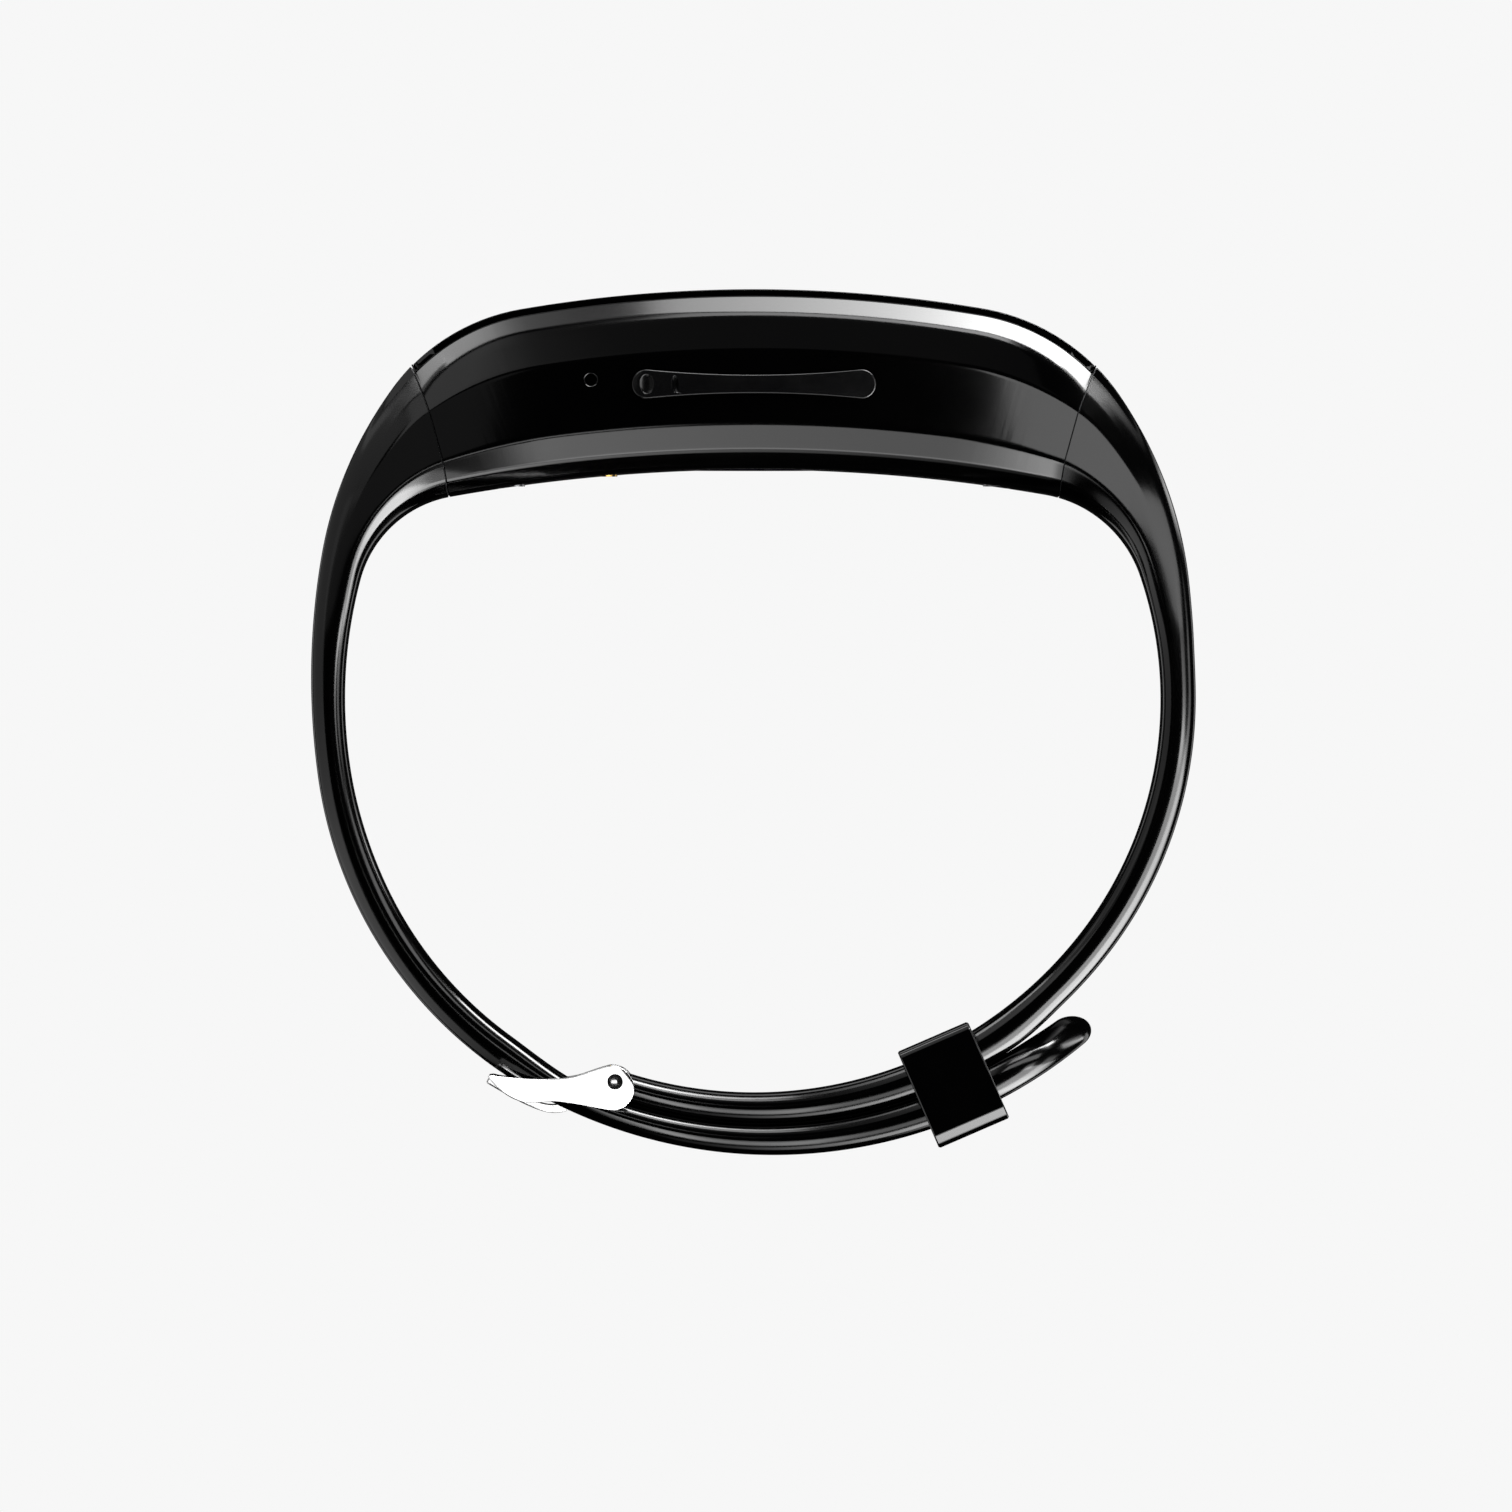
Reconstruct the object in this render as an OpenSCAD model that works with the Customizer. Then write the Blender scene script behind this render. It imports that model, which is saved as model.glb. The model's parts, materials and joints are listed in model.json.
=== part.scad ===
// Fitness tracker band: a slim curved tracker pod, two moulded straps, a tang buckle
// and a free keeper loop, modelled buckled, as it sits on a stand or a wrist.
// Millimetres. +Z points up through the display, +X along the pod, +Y across the band.
// The origin is the middle of the wrist opening. The button and microphone face -Y.

/* [Wrist opening and pod] */
// Height of the back of the pod above the middle of the wrist opening
back_z = 21.98; // [20:0.01:24]
// Height of the top of the display glass at the middle of the pod
top_z = 34.63; // [32:0.01:38]
// Half width of the pod across the band
pod_half_w = 10.5; // [9:0.1:12]
// Angle from straight up to the seam, on the outside
seam_out = 39.5; // [36:0.1:42]
// Angle from straight up to the seam, on the wrist side
seam_in = 46.9; // [44:0.1:50]
// How far the seam bows towards the middle of the pod
seam_bow = 0.42; // [0:0.01:0.8]
// Half of the gap left at each seam, as an angle
seam_gap = 0.08; // [0.02:0.01:0.2]
// Thickness of the wall that carries the button and the microphone
side_wall = 1.8; // [1.2:0.1:2.4]

/* [Straps] */
// Half width of a strap next to the pod
strap_half_w = 9.9; // [8:0.1:10.5]
// Half width of a strap at the buckle
tail_half_w = 7.8; // [7:0.1:9]
// Thickness of a single strap
strap_t = 2.42; // [1.8:0.01:3]
// Gap left between the two strap layers
layer_gap = 0.08; // [0.02:0.01:0.2]
// Angle at which the long strap ends, from straight up over the left side
tip_at = 234.4; // [228:0.1:240]
// Angle between neighbouring strap holes
hole_step = 11.8; // [9:0.1:14]
// Length of a strap hole
hole_len = 3.1; // [2.4:0.1:3.6]
// Width of a strap hole
hole_w = 2.1; // [1.6:0.1:2.4]

/* [Buckle and keeper] */
// Distance of the buckle pin from the middle of the wrist opening
pin_r_at = 23.1; // [22:0.01:24]
// Angle of the buckle pin from straight up, over the right side
pin_at = 204.9; // [200:0.1:210]
// Tilt of the long strap where it leaves the pin, above the horizontal
buckle_tilt = 27.6; // [20:0.1:35]
// Radius of the buckle pin
pin_r = 0.55; // [0.4:0.01:0.8]
// Thickness of a side arm of the buckle frame
arm_t = 1.3; // [0.8:0.1:2]
// Half width of the tang
tang_half_w = 0.75; // [0.5:0.01:1]
// Length of the keeper along the strap
keeper_len = 5.37; // [4:0.01:8]
// Height of the keeper across both strap layers
keeper_h = 7.27; // [6:0.01:9]
// Angle of the keeper from straight up, over the right side
keeper_at = 146.6; // [130:0.1:170]

/* [Button and microphone] */
// Length of the side button
button_len = 17.1; // [12:0.1:20]
// Height of the side button at its rounded ends
button_h = 2.05; // [1.6:0.01:2.6]
// Height of the side button at its waist
button_waist = 1.3; // [0.9:0.01:2]
// Height of the button's centre line
button_z = 27.9; // [27:0.1:29]
// How far the button stands out of the side
button_proud = 0.22; // [0:0.01:0.5]
// Position of the microphone hole along the pod
mic_x = -11.42; // [-14:0.01:-10]
// Height of the microphone hole
mic_z = 28.2; // [27:0.1:29]

/* [Hidden] */
$fn = 48;
eps = 0.01;

// ---- outlines: chains of tangent arcs, read as a distance along a ray ----
// Each chain starts at the top on the centre line and turns clockwise: [radius, turn].
out_l = chain(top_z, [[96.4, 9.8], [13.95, 44], [28, 26.3], [50.35, 18], [29.94, 51], [34.33, 100]]);
out_r = chain(top_z, [[96.3, 9.6], [14.54, 46.2], [28.92, 28.1], [79.5, 5.2], [30.1, 80]]);
in_l = chain(back_z, [[120.6, 10.2], [7.99, 64.9], [32.3, 32.8], [27.4, 90]]);
in_r = chain(back_z, [[119.8, 9.85], [8.56, 61.2], [26.8, 56.4], [28.87, 34], [29.3, 60]]);

function arcs(l, i, cx, cz, a) = i >= len(l) ? [] :
  let (n = i + 1, e = a + l[i][1], r = l[i][0], s = n < len(l) ? r - l[n][0] : 0)
  concat([[cx, cz, r, a, e]], arcs(l, n, cx + s * sin(e), cz + s * cos(e), e));
function chain(z, l) = arcs(l, 0, 0, z - l[0][0], 0);
function on_arc(c, a) = let (m = c[0] * sin(a) + c[1] * cos(a))
  m + sqrt(m * m - c[0] * c[0] - c[1] * c[1] + c[2] * c[2]);
function face_angle(c, a) = let (t = on_arc(c, a), n = atan2(t * sin(a) - c[0], t * cos(a) - c[1]))
  n < -10 ? n + 360 : n;
function arc_for(ch, a, i = 0) =
  i == len(ch) - 1 || face_angle(ch[i], a) <= ch[i][4] ? i : arc_for(ch, a, i + 1);
function ray(ch, a) = on_arc(ch[arc_for(ch, a)], a);
function normal_at(ch, a) = face_angle(ch[arc_for(ch, a)], a);
function smooth(x) = let (c = min(1, max(0, x))) c * c * (3 - 2 * c);
function mix(a, b, k) = a + (b - a) * k;

// ---- layers of the two straps ----
// Thickness of one layer where the straps overlap; la is the angle over the left side.
function layer(la) = (ray(out_l, la) - ray(in_r, 360 - la) - layer_gap) / 2;
function tip_drop(la) = la > tip_at - 5 ? 1 - 0.55 * pow((la - tip_at + 5) / 5, 3) : 1;
function long_t(la) = mix(mix(strap_t, layer(la), smooth((la - 136) / 18)),
  strap_t, smooth((la - 222) / 14));
function long_out(la) = ray(out_l, la) - (1 - tip_drop(la)) * strap_t / 2;
function long_in(la) = la < 90 ? ray(in_l, la) :
  mix(ray(in_l, la), ray(out_l, la) - long_t(la), smooth((la - 90) / 15))
  + (1 - tip_drop(la)) * strap_t / 2;
function short_in(ra) = ray(in_r, ra);
function short_out(ra) = ra < 70 ? ray(out_r, ra) : mix(ray(out_r, ra),
  ray(in_r, ra) + mix(strap_t, layer(360 - ra), smooth((ra - 125) / 13)), smooth((ra - 70) / 15));
function pod_out(a) = ray(a < 0 ? out_l : out_r, abs(a));
function pod_in(a) = ray(a < 0 ? in_l : in_r, abs(a));

// ---- ribs: a rib runs from the outside to the wrist side, f = 0 to 1 ----
seam_mid = (seam_out + seam_in) / 2;
seam_half = (seam_in - seam_out) / 2;
// How strongly the seam's slant and bow apply at rib angle a (0 at the middle, 1 at the seam)
function lean(a) = let (b = abs(a)) b <= seam_mid ? b / seam_mid : 1 - smooth((b - seam_mid) / 30);
function bow(a) = let (b = abs(a)) b <= seam_mid ? pow(b / seam_mid, 2) : lean(a);
function dir(a) = [sin(a), cos(a)];
function rib(ro, ri, ao, ai, a, f) = let (s = a < 0 ? -1 : 1, p = ro * dir(ao), q = ri * dir(ai))
  mix(p, q, f) - [s * seam_bow * bow(a) * 4 * f * (1 - f), 0];
function pod_pt(a, f) = let (s = a < 0 ? -1 : 1, d = seam_half * lean(a) * s)
  rib(pod_out(a - d), pod_in(a + d), a - d, a + d, a, f);
// side: -1 for the long strap on the left, +1 for the short strap on the right
function strap_pt(side, b, f) = let (d = seam_half * lean(b), o = b - d, i = b + d,
  ro = side < 0 ? long_out(o) : short_out(o), ri = side < 0 ? long_in(i) : short_in(i))
  rib(ro, ri, side * o, side * i, side * min(b, 179), f);

// ---- sections: [y, f] from the outside centre line round the -Y side to the wrist side ----
function pod_half(w) = [for (p = [[0, 0], [0.46, 0], [0.73, 0.008], [0.819, 0.044],
  [0.924, 0.149], [1, 0.342], [1, 0.739], [0.929, 0.894], [0.829, 0.985], [0.75, 1],
  [0.38, 1], [0, 1]]) [p[0] * w, p[1]]];
function strap_half(w) = [[0, 0], [0.5 * w, 0], [w - 1.0, 0], [w - 0.5, 0.07], [w - 0.15, 0.22],
  [w, 0.42], [w, 0.6], [w - 0.13, 0.8], [w - 0.45, 0.94], [w - 0.9, 1], [0.4 * w, 1], [0, 1]];
function ring(h) = concat([for (i = [0 : 11]) [-h[i][0], h[i][1]]],
  [for (i = [10 : -1 : 1]) [h[i][0], h[i][1]]]);

// End face of a 22 point ring in level strips, so that two ends that meet at a seam match
// and no triangle lies along a straight edge.
end_face = concat([[0, 1, 3], [1, 2, 3], [0, 3, 19], [0, 19, 21], [19, 20, 21]],
  [for (i = [3 : 7]) for (t = [[i, i + 1, 21 - i], [i, 21 - i, 22 - i]]) t],
  [[8, 9, 10], [8, 10, 11], [8, 11, 14], [11, 12, 14], [12, 13, 14]]);
// Skin over rings of points; every ring has the same count.
module skin(rings) {
  n = len(rings[0]);
  m = len(rings);
  pts = [for (r = rings) for (p = r) p];
  sides = [for (i = [0 : m - 2]) for (j = [0 : n - 1]) let (k = (j + 1) % n)
    for (t = [[i * n + j, (i + 1) * n + j, (i + 1) * n + k], [i * n + j, (i + 1) * n + k, i * n + k]]) t];
  cap = n == 22 ? end_face : [for (i = [1 : n - 2]) [0, i, i + 1]];
  caps = [for (e = [0, m - 1]) for (t = cap)
    e == 0 ? t : [e * n + t[0], e * n + t[2], e * n + t[1]]];
  polyhedron(points = pts, faces = concat(sides, caps));
}

// Block of the pod between two rib angles, two depths and a half width.
module pod_block(u, f0, f1, w, n = 12) {
  skin([for (i = [0 : n]) let (a = seam_mid * u * (2 * i / n - 1))
    [for (p = [[-w, f0], [-w, f1], [w, f1], [w, f0]])
      let (q = pod_pt(a, p[1])) [q[0], p[0], q[1]]]]);
}

module upper_housing() {
  color("#101114") difference() {
    skin([for (i = [0 : 20]) let (a = (seam_mid - seam_gap) * (i / 10 - 1))
      [for (p = ring(pod_half(pod_half_w))) let (q = pod_pt(a, p[1])) [q[0], p[0], q[1]]]]);
    pod_block(0.973, -0.06, 0.0985, 8.52, 32);
    pod_block(0.84, 0.09, 0.21, 7.3);
    pod_block(0.72, 0.2, 0.86, pod_half_w - side_wall);
    pod_block(0.72, 0.85, 0.9, 7.0);
    pod_block(0.868, 0.866, 0.9, 7.82);
    pod_block(0.88, 0.883, 1.06, 7.93);
    button_cut(0.12, -pod_half_w + 1.0, 0.2);
    translate([0, 0, button_z]) rotate([90, 0, 0])
      translate([0, 0, 7]) cylinder(r = 0.85, h = 4);
    translate([0, 0, button_z]) rotate([90, 0, 0])
      translate([0, 0, 8]) cylinder(r = 1.5, h = 1.1);
    translate([mic_x, 0, mic_z]) rotate([90, 0, 0]) {
      translate([0, 0, 7]) cylinder(r = 0.3, h = 4);
      translate([0, 0, pod_half_w - 0.62]) cylinder(r = 0.53, h = 1);
    }
    for (s = [-1, 1]) bar_place(s) {
      translate([-3.4, -6.6, -1.85]) cube([4.4, 13.2, 3.7]);
      for (e = [-1, 1]) translate([-1.5, e * 7.1, 0]) rotate([90, 0, 0])
        cylinder(r = 0.45, h = 1.1, center = true);
      translate([-2.6, -5.5, -7]) cube([2.2, 2.9, 6]);
    }
    for (sx = [-1, 1], sy = [-1, 1]) translate([sx * 17.05, sy * 6.2, 19]) cylinder(r = 0.56, h = 4.6);
  }
}

// Frame of one pod end: origin in the seam's middle, x out of the pod, z along the seam.
seam_c = (pod_pt(seam_mid, 0) + pod_pt(seam_mid, 1)) / 2;
seam_d = pod_pt(seam_mid, 0) - pod_pt(seam_mid, 1);
seam_lean = atan2(seam_d[0], seam_d[1]);
module bar_place(s) {
  mirror([s < 0 ? 1 : 0, 0, 0]) translate([seam_c[0], 0, seam_c[1]]) rotate([0, seam_lean, 0]) children();
}

module back_cover() {
  color("#17181b") difference() {
    pod_block(0.875, 0.888, 1, 7.88);
    translate([0, 0, 20]) cylinder(r = 4.85, h = 6);
    for (sy = [-1, 1]) translate([-10.6, sy * 3, 20]) cylinder(r = 1.03, h = 6);
    for (sx = [-1, 1], sy = [-1, 1]) translate([sx * 17.05, sy * 6.2, 0]) {
      translate([0, 0, 19]) cylinder(r = 0.66, h = 6);
      translate([0, 0, 19]) cylinder(r = 1.05, h = 2.35);
    }
    for (s = [-1, 1]) bar_place(s) translate([-2.6, -5.5, -7]) cube([2.2, 2.9, 6]);
  }
}

module case_gasket() {
  color("#2b2d31") difference() {
    pod_block(0.865, 0.8675, 0.8865, 7.8);
    pod_block(0.73, 0.85, 0.9, 7.05);
    for (sx = [-1, 1], sy = [-1, 1]) translate([sx * 17.05, sy * 6.2, 19]) cylinder(r = 0.8, h = 6);
    for (s = [-1, 1]) bar_place(s) translate([-2.7, -5.6, -7]) cube([2.4, 3.1, 6]);
  }
}

module case_screws() {
  color("#8d9095") for (sx = [-1, 1], sy = [-1, 1]) translate([sx * 17.05, sy * 6.2, 0]) difference() {
    union() {
      translate([0, 0, 20.8]) cylinder(r = 0.95, h = 0.52);
      translate([0, 0, 21.2]) cylinder(r = 0.52, h = 2.2);
    }
    translate([0, 0, 20.7]) cylinder(r = 0.42, h = 0.4, $fn = 6);
  }
}

module display_lens() { color("#050607") pod_block(0.968, 0.006, 0.094, 8.46, 32); }
module lens_adhesive() { color("#3a3c40") pod_block(0.82, 0.0985, 0.1035, 7.15, 32); }
module display_panel() { color("#0b1020") pod_block(0.8, 0.1085, 0.148, 7.0, 32); }

module display_flex() {
  color("#b06a1c") translate([0, 3, 0]) rotate([90, 0, 0]) linear_extrude(height = 6)
    polygon([[14.2, 31.62], [15.0, 31.5], [15.4, 30.9], [15.2, 29.9], [14.6, 29.45],
      [12.4, 29.45], [12.4, 29.6], [14.52, 29.6], [15.05, 30.0], [15.24, 30.88],
      [14.9, 31.36], [14.2, 31.48]]);
}

module main_board() {
  color("#123a2a") difference() {
    translate([-14, -7.2, 29.7]) cube([28, 14.4, 0.8]);
    translate([-12.2, 5.4, 29]) cylinder(r = 0.6, h = 2);
    translate([12.2, -5.4, 29]) cylinder(r = 0.6, h = 2);
  }
}

module board_components() {
  color("#1c1d20") {
    translate([-13.2, -3.6, 30.5]) cube([3.6, 3.2, 0.8]);
    translate([-12.9, 0.6, 30.5]) cube([2.2, 2.2, 0.6]);
    for (i = [0 : 4]) translate([10.4, -5 + 2 * i, 30.5]) cube([1.0, 0.5, 0.4]);
    for (i = [0 : 3]) translate([-9.2, -4.6 + 2.2 * i, 30.5]) cube([0.6, 1.2, 0.4]);
  }
}

module shield_cans() {
  color("#a9adb1") {
    can([-8.2, -6.2, 30.5], [8.6, 12.4, 1.1]);
    can([1.2, -6.2, 30.5], [8.4, 7.4, 1.1]);
    can([1.2, 1.8, 30.5], [8.4, 4.4, 0.9]);
  }
}
module can(p, s) {
  translate(p) difference() {
    cube(s);
    translate([0.12, 0.12, -eps]) cube([s[0] - 0.24, s[1] - 0.24, s[2] - 0.12]);
  }
}

module battery() {
  color("#5c6068") {
    translate([-9.6, -6.1, 24.95]) cube([17.2, 12.2, 4.25]);
    translate([7.6, -4, 28.2]) cube([0.5, 8, 0.9]);
  }
}
module battery_foam() { color("#3c4f63") translate([-9, -5.6, 29.22]) cube([16, 11.2, 0.44]); }

module motor_can() {
  color("#b9bcc0") translate([11.3, 0, 25]) difference() {
    cylinder(r = 3, h = 2.6);
    translate([0, 0, 0.2]) cylinder(r = 2.8, h = 2.2);
  }
}
module motor_shaft() { color("#8d9095") translate([11.3, 0, 25.21]) cylinder(r = 0.3, h = 2.18); }
module motor_rotor() {
  color("#a58a4a") translate([11.3, 0, 25.5]) difference() {
    union() {
      intersection() {
        cylinder(r = 2.6, h = 1.6);
        translate([-3, 0.2, -1]) cube([6, 3, 4]);
      }
      cylinder(r = 0.9, h = 1.6);
    }
    translate([0, 0, -1]) cylinder(r = 0.35, h = 4);
  }
}

module antenna() {
  color("#c98f3a") {
    translate([-10, 8.25, 25.6]) cube([20, 0.2, 1.0]);
    translate([-10, 8.25, 27.6]) cube([20, 0.2, 1.0]);
    translate([-10, 8.25, 26.55]) cube([1, 0.2, 1.1]);
  }
}

// Outline of the side button: straight rows joined by two end circles and drawn in
// at the waist by two large circles.
module button_shape(grow) {
  r = button_h / 2;
  half = button_len / 2 - r;
  sag = r - button_waist / 2;
  big = (half * half + sag * sag) / (2 * sag);
  difference() {
    union() {
      square([2 * half, 2 * (r + grow)], center = true);
      for (s = [-1, 1]) translate([s * half, 0]) circle(r = r + grow);
    }
    for (s = [-1, 1]) translate([0, s * (button_waist / 2 + big)]) circle(r = big - grow, $fn = 240);
  }
}
module button_cut(grow, y, extra) {
  translate([0, y, button_z]) rotate([90, 0, 0]) linear_extrude(height = 1.2 + extra) button_shape(grow);
}

module side_button() {
  color("#141518") {
    translate([0, -pod_half_w + 0.62, button_z]) rotate([90, 0, 0])
      linear_extrude(height = 0.62 + button_proud) button_shape(0);
    translate([0, 0, button_z]) rotate([90, 0, 0])
      translate([0, 0, 8.3]) cylinder(r = 0.8, h = pod_half_w - 0.6 - 8.3);
  }
}
module button_seal() {
  color("#3a2b2b") translate([0, -8.84, button_z]) rotate([90, 0, 0])
    translate([0, 0, -0.25]) rotate_extrude() translate([1.16, 0.25]) circle(r = 0.25, $fn = 20);
}
module tactile_switch() {
  color("#2a2c2f") difference() {
    translate([-1.7, -7.95, button_z - 1.15]) cube([3.4, 1.25, 2.3]);
    translate([0, 0, button_z]) rotate([90, 0, 0]) translate([0, 0, 7.1]) cylinder(r = 0.66, h = 3);
  }
}
module switch_plunger() {
  color("#d9dbdc") translate([0, 0, button_z]) rotate([90, 0, 0])
    translate([0, 0, 7.45]) cylinder(r = 0.6, h = 0.8);
}

module mic_port_ring() {
  color("#7d8185") translate([mic_x, 0, mic_z]) rotate([90, 0, 0]) difference() {
    translate([0, 0, pod_half_w - 0.6]) cylinder(r = 0.52, h = 0.62);
    translate([0, 0, pod_half_w - 1]) cylinder(r = 0.31, h = 2);
  }
}
module mic_mesh() {
  color("#4a4d52") translate([mic_x, 0, mic_z]) rotate([90, 0, 0])
    translate([0, 0, 8.58]) cylinder(r = 0.8, h = 0.1);
}
module microphone() {
  color("#c7b27a") translate([mic_x - 1.75, -8.56, mic_z - 1.3]) cube([3.5, 0.95, 2.6]);
}

module sensor_window() { color("#0c0d10") translate([0, 0, 21.88]) cylinder(r = 4.8, h = 1.32); }
module sensor_leds() {
  color("#7fd08a") {
    for (s = [-1, 1]) translate([s * 0.85 - 0.5, -0.5, 23.22]) cube([1, 1, 0.66]);
    for (s = [-1, 1]) translate([s * 3.3 - 0.7, -1.1, 23.22]) cube([1.4, 2.2, 0.66]);
  }
}
module sensor_light_dam() {
  color("#1a1b1e") translate([0, 0, 23.22]) difference() {
    cylinder(r = 2.3, h = 0.66);
    translate([0, 0, -1]) cylinder(r = 1.9, h = 3);
  }
}
module sensor_board() { color("#123a2a") translate([-6.5, -5.5, 23.9]) cube([13, 11, 0.6]); }
module charging_contacts() {
  color("#d4a94a") for (sy = [-1, 1]) translate([-10.6, sy * 3, 0]) {
    translate([0, 0, 21.48]) cylinder(r = 1, h = 2.3);
    translate([0, 0, 23.3]) cylinder(r = 1.3, h = 0.25);
  }
}
module contact_flex() {
  color("#b06a1c") difference() {
    translate([-12, -4.4, 23.8]) cube([2.8, 8.8, 0.15]);
    translate([-10.6, 0, 23]) cylinder(r = 0.5, h = 2);
  }
}

// ---- straps ----
// Half width, from the pod to the tail; the long strap ends in a rounded tip.
function width_at(side, b) = let (w = mix(strap_half_w, tail_half_w, smooth((b - seam_mid) / 85)),
  k = side < 0 && b > tip_at - 16 ? (b - tip_at + 16) / 16 : 0) w * sqrt(1 - 0.93 * k * k);
function strap_section(side, b) = let (k = smooth((b - seam_mid) / 24), w = width_at(side, b),
  p = pod_half(mix(pod_half_w, w, smooth((b - seam_mid) / 40))), s = strap_half(w))
  ring([for (i = [0 : 11]) mix(p[i], s[i], k)]);
function strap_ring(side, b) = [for (p = strap_section(side, b))
  let (q = strap_pt(side, b, p[1])) [q[0], side * p[0], q[1]]];
function hole_frame(la) = let (r = (long_out(la) + long_in(la)) / 2) [-r * sin(la), r * cos(la), normal_at(out_l, la)];

module hole_strap() {
  first = seam_mid + seam_gap;
  color("#1a1b1f") {
    difference() {
      union() {
        skin([for (b = concat([for (i = [0 : 13]) first + 2.6 * i], [for (i = [0 : 27]) 81.5 + 5 * i],
          [for (i = [0 : 8]) mix(219, tip_at, sin(90 * i / 8))])) strap_ring(-1, b)]);
        tongue_fill(-1);
      }
      for (k = [-3 : 6]) let (h = hole_frame(hole_at + k * hole_step))
        translate([h[0], 0, h[1]]) rotate([0, -h[2], 0]) slot();
      tongue_bore(-1);
    }
  }
}
// Angle of the hole the tang is in, over the left side
hole_at = 150.9;
module slot() {
  for (s = [-1, 1]) translate([s * (hole_len - hole_w) / 2, 0, 0])
    cylinder(r = hole_w / 2, h = 5, center = true);
  cube([hole_len - hole_w, hole_w, 5], center = true);
}
module tongue_fill(s) {
  bar_place(s) {
    translate([-1.5, -6.5, -1.75]) cube([3.5, 13, 3.5]);
    translate([-1.5, 0, 0]) rotate([90, 0, 0]) cylinder(r = 1.75, h = 13, center = true);
  }
}
module tongue_bore(s) {
  bar_place(s) {
    translate([-1.5, 0, 0]) rotate([90, 0, 0]) cylinder(r = 0.68, h = 13.4, center = true);
    translate([-2.05, -5.1, -4]) cube([1.1, 2.3, 4]);
  }
}

// ---- buckle: a local frame at the pin, u along the long strap, v outwards ----
pin_c = [pin_r_at * sin(pin_at), pin_r_at * cos(pin_at)];
module at_pin() {
  translate([pin_c[0], 0, pin_c[1]]) rotate([90, 0, 0]) rotate(180 - buckle_tilt) children();
}
// Solid drawn in (u, v), centred across the band
module across(w) { translate([0, 0, -w / 2]) linear_extrude(height = w) children(); }

module buckle_strap() {
  first = seam_mid + seam_gap;
  last = pin_at + 0.3;
  color("#1a1b1f") difference() {
    union() {
      skin([for (b = concat([for (i = [0 : 13]) first + 2.6 * i], [for (i = [0 : 24]) 81.5 + 5.13 * i]))
        strap_ring(1, b)]);
      at_pin() across(2 * tail_half_w) circle(r = 0.97);
      tongue_fill(1);
    }
    at_pin() across(30) circle(r = 0.62);
    at_pin() across(1.9) translate([-1.25, -2]) square([4, 4]);
    tongue_bore(1);
  }
}

arm_in = tail_half_w + 0.16;
module arm_shape() {
  difference() {
    union() {
      translate([0, 0.5]) circle(r = 1.57);
      polygon([[-0.75, 1.85], [0.39, 2.29], [1.89, 2.76], [3.29, 3.25], [4.22, 3.88], [5.1, 4.26],
        [5.86, 4.36], [6.79, 4.28], [7.7, 3.97], [8.08, 3.75], [8.0, 3.56], [7.12, 3.32],
        [5.4, 2.6], [3.83, 1.76], [2.61, 0.92], [1.63, -0.08], [0.95, -0.7], [0, 0]]);
    }
    circle(r = pin_r);
  }
}
module bar_shape() {
  polygon([[4.75, 3.5], [7.4, 3.42], [7.9, 3.5], [8.08, 3.75], [7.7, 3.97], [6.79, 4.28],
    [5.86, 4.36], [5.1, 4.26], [4.7, 3.95]]);
}
module buckle_frame() {
  color("#c9ccd0") at_pin() difference() {
    union() {
      for (s = [-1, 1]) translate([0, 0, s * (arm_in + arm_t / 2)]) across(arm_t) arm_shape();
      across(2 * arm_in + 0.2) bar_shape();
    }
    across(2.1) translate([4, 3.83]) square([6, 2]);
  }
}
module buckle_pin() { color("#8d9095") at_pin() across(2 * (arm_in + arm_t) - 0.2) circle(r = pin_r); }

// Ribbon of thickness 2h along a path
function ribbon(p, h) = let (n = len(p), t = [for (i = [0 : n - 1])
  let (d = p[min(n - 1, i + 1)] - p[max(0, i - 1)]) [-d[1], d[0]] / norm(d)])
  concat([for (i = [0 : n - 1]) p[i] + t[i] * h[i]], [for (i = [n - 1 : -1 : 0]) p[i] - t[i] * h[i]]);
module buckle_tang() {
  color("#c9ccd0") at_pin() difference() {
    union() {
      across(2 * tang_half_w) circle(r = 0.94);
      across(2 * tang_half_w) polygon(ribbon([[0.5, 0.35], [0.9, 0.8], [1.4, 1.6], [1.8, 2.45],
        [2.3, 3.2], [3.1, 3.78], [4.3, 4.07], [6, 4.14], [8.0, 4.1]],
        [0.3, 0.36, 0.38, 0.36, 0.34, 0.31, 0.27, 0.25, 0.2]));
    }
    across(4) circle(r = 0.58);
  }
}

// ---- keeper ----
keep_la = 360 - keeper_at;
keep_mid = (long_out(keep_la) + short_in(keeper_at)) / 2 + 0.18;
keep_in_h = 5.56;
keep_in_shift = -0.23;
module round_rect(w, h, r) {
  square([w - 2 * r, h], center = true);
  square([w, h - 2 * r], center = true);
  for (x = [-1, 1], y = [-1, 1]) translate([x * (w / 2 - r), y * (h / 2 - r)]) circle(r = r);
}
module keeper() {
  color("#17181b") translate([keep_mid * sin(keeper_at), 0, keep_mid * cos(keeper_at)])
    rotate([0, 156.6 - 180, 0]) rotate([0, -90, 0]) rotate(90)
      translate([0, 0, -keeper_len / 2]) linear_extrude(height = keeper_len) difference() {
        round_rect(2 * (tail_half_w + 1.5), keeper_h, 1.5);
        translate([0, keep_in_shift]) round_rect(2 * (tail_half_w + 0.35), keep_in_h, 0.5);
      }
}

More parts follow.
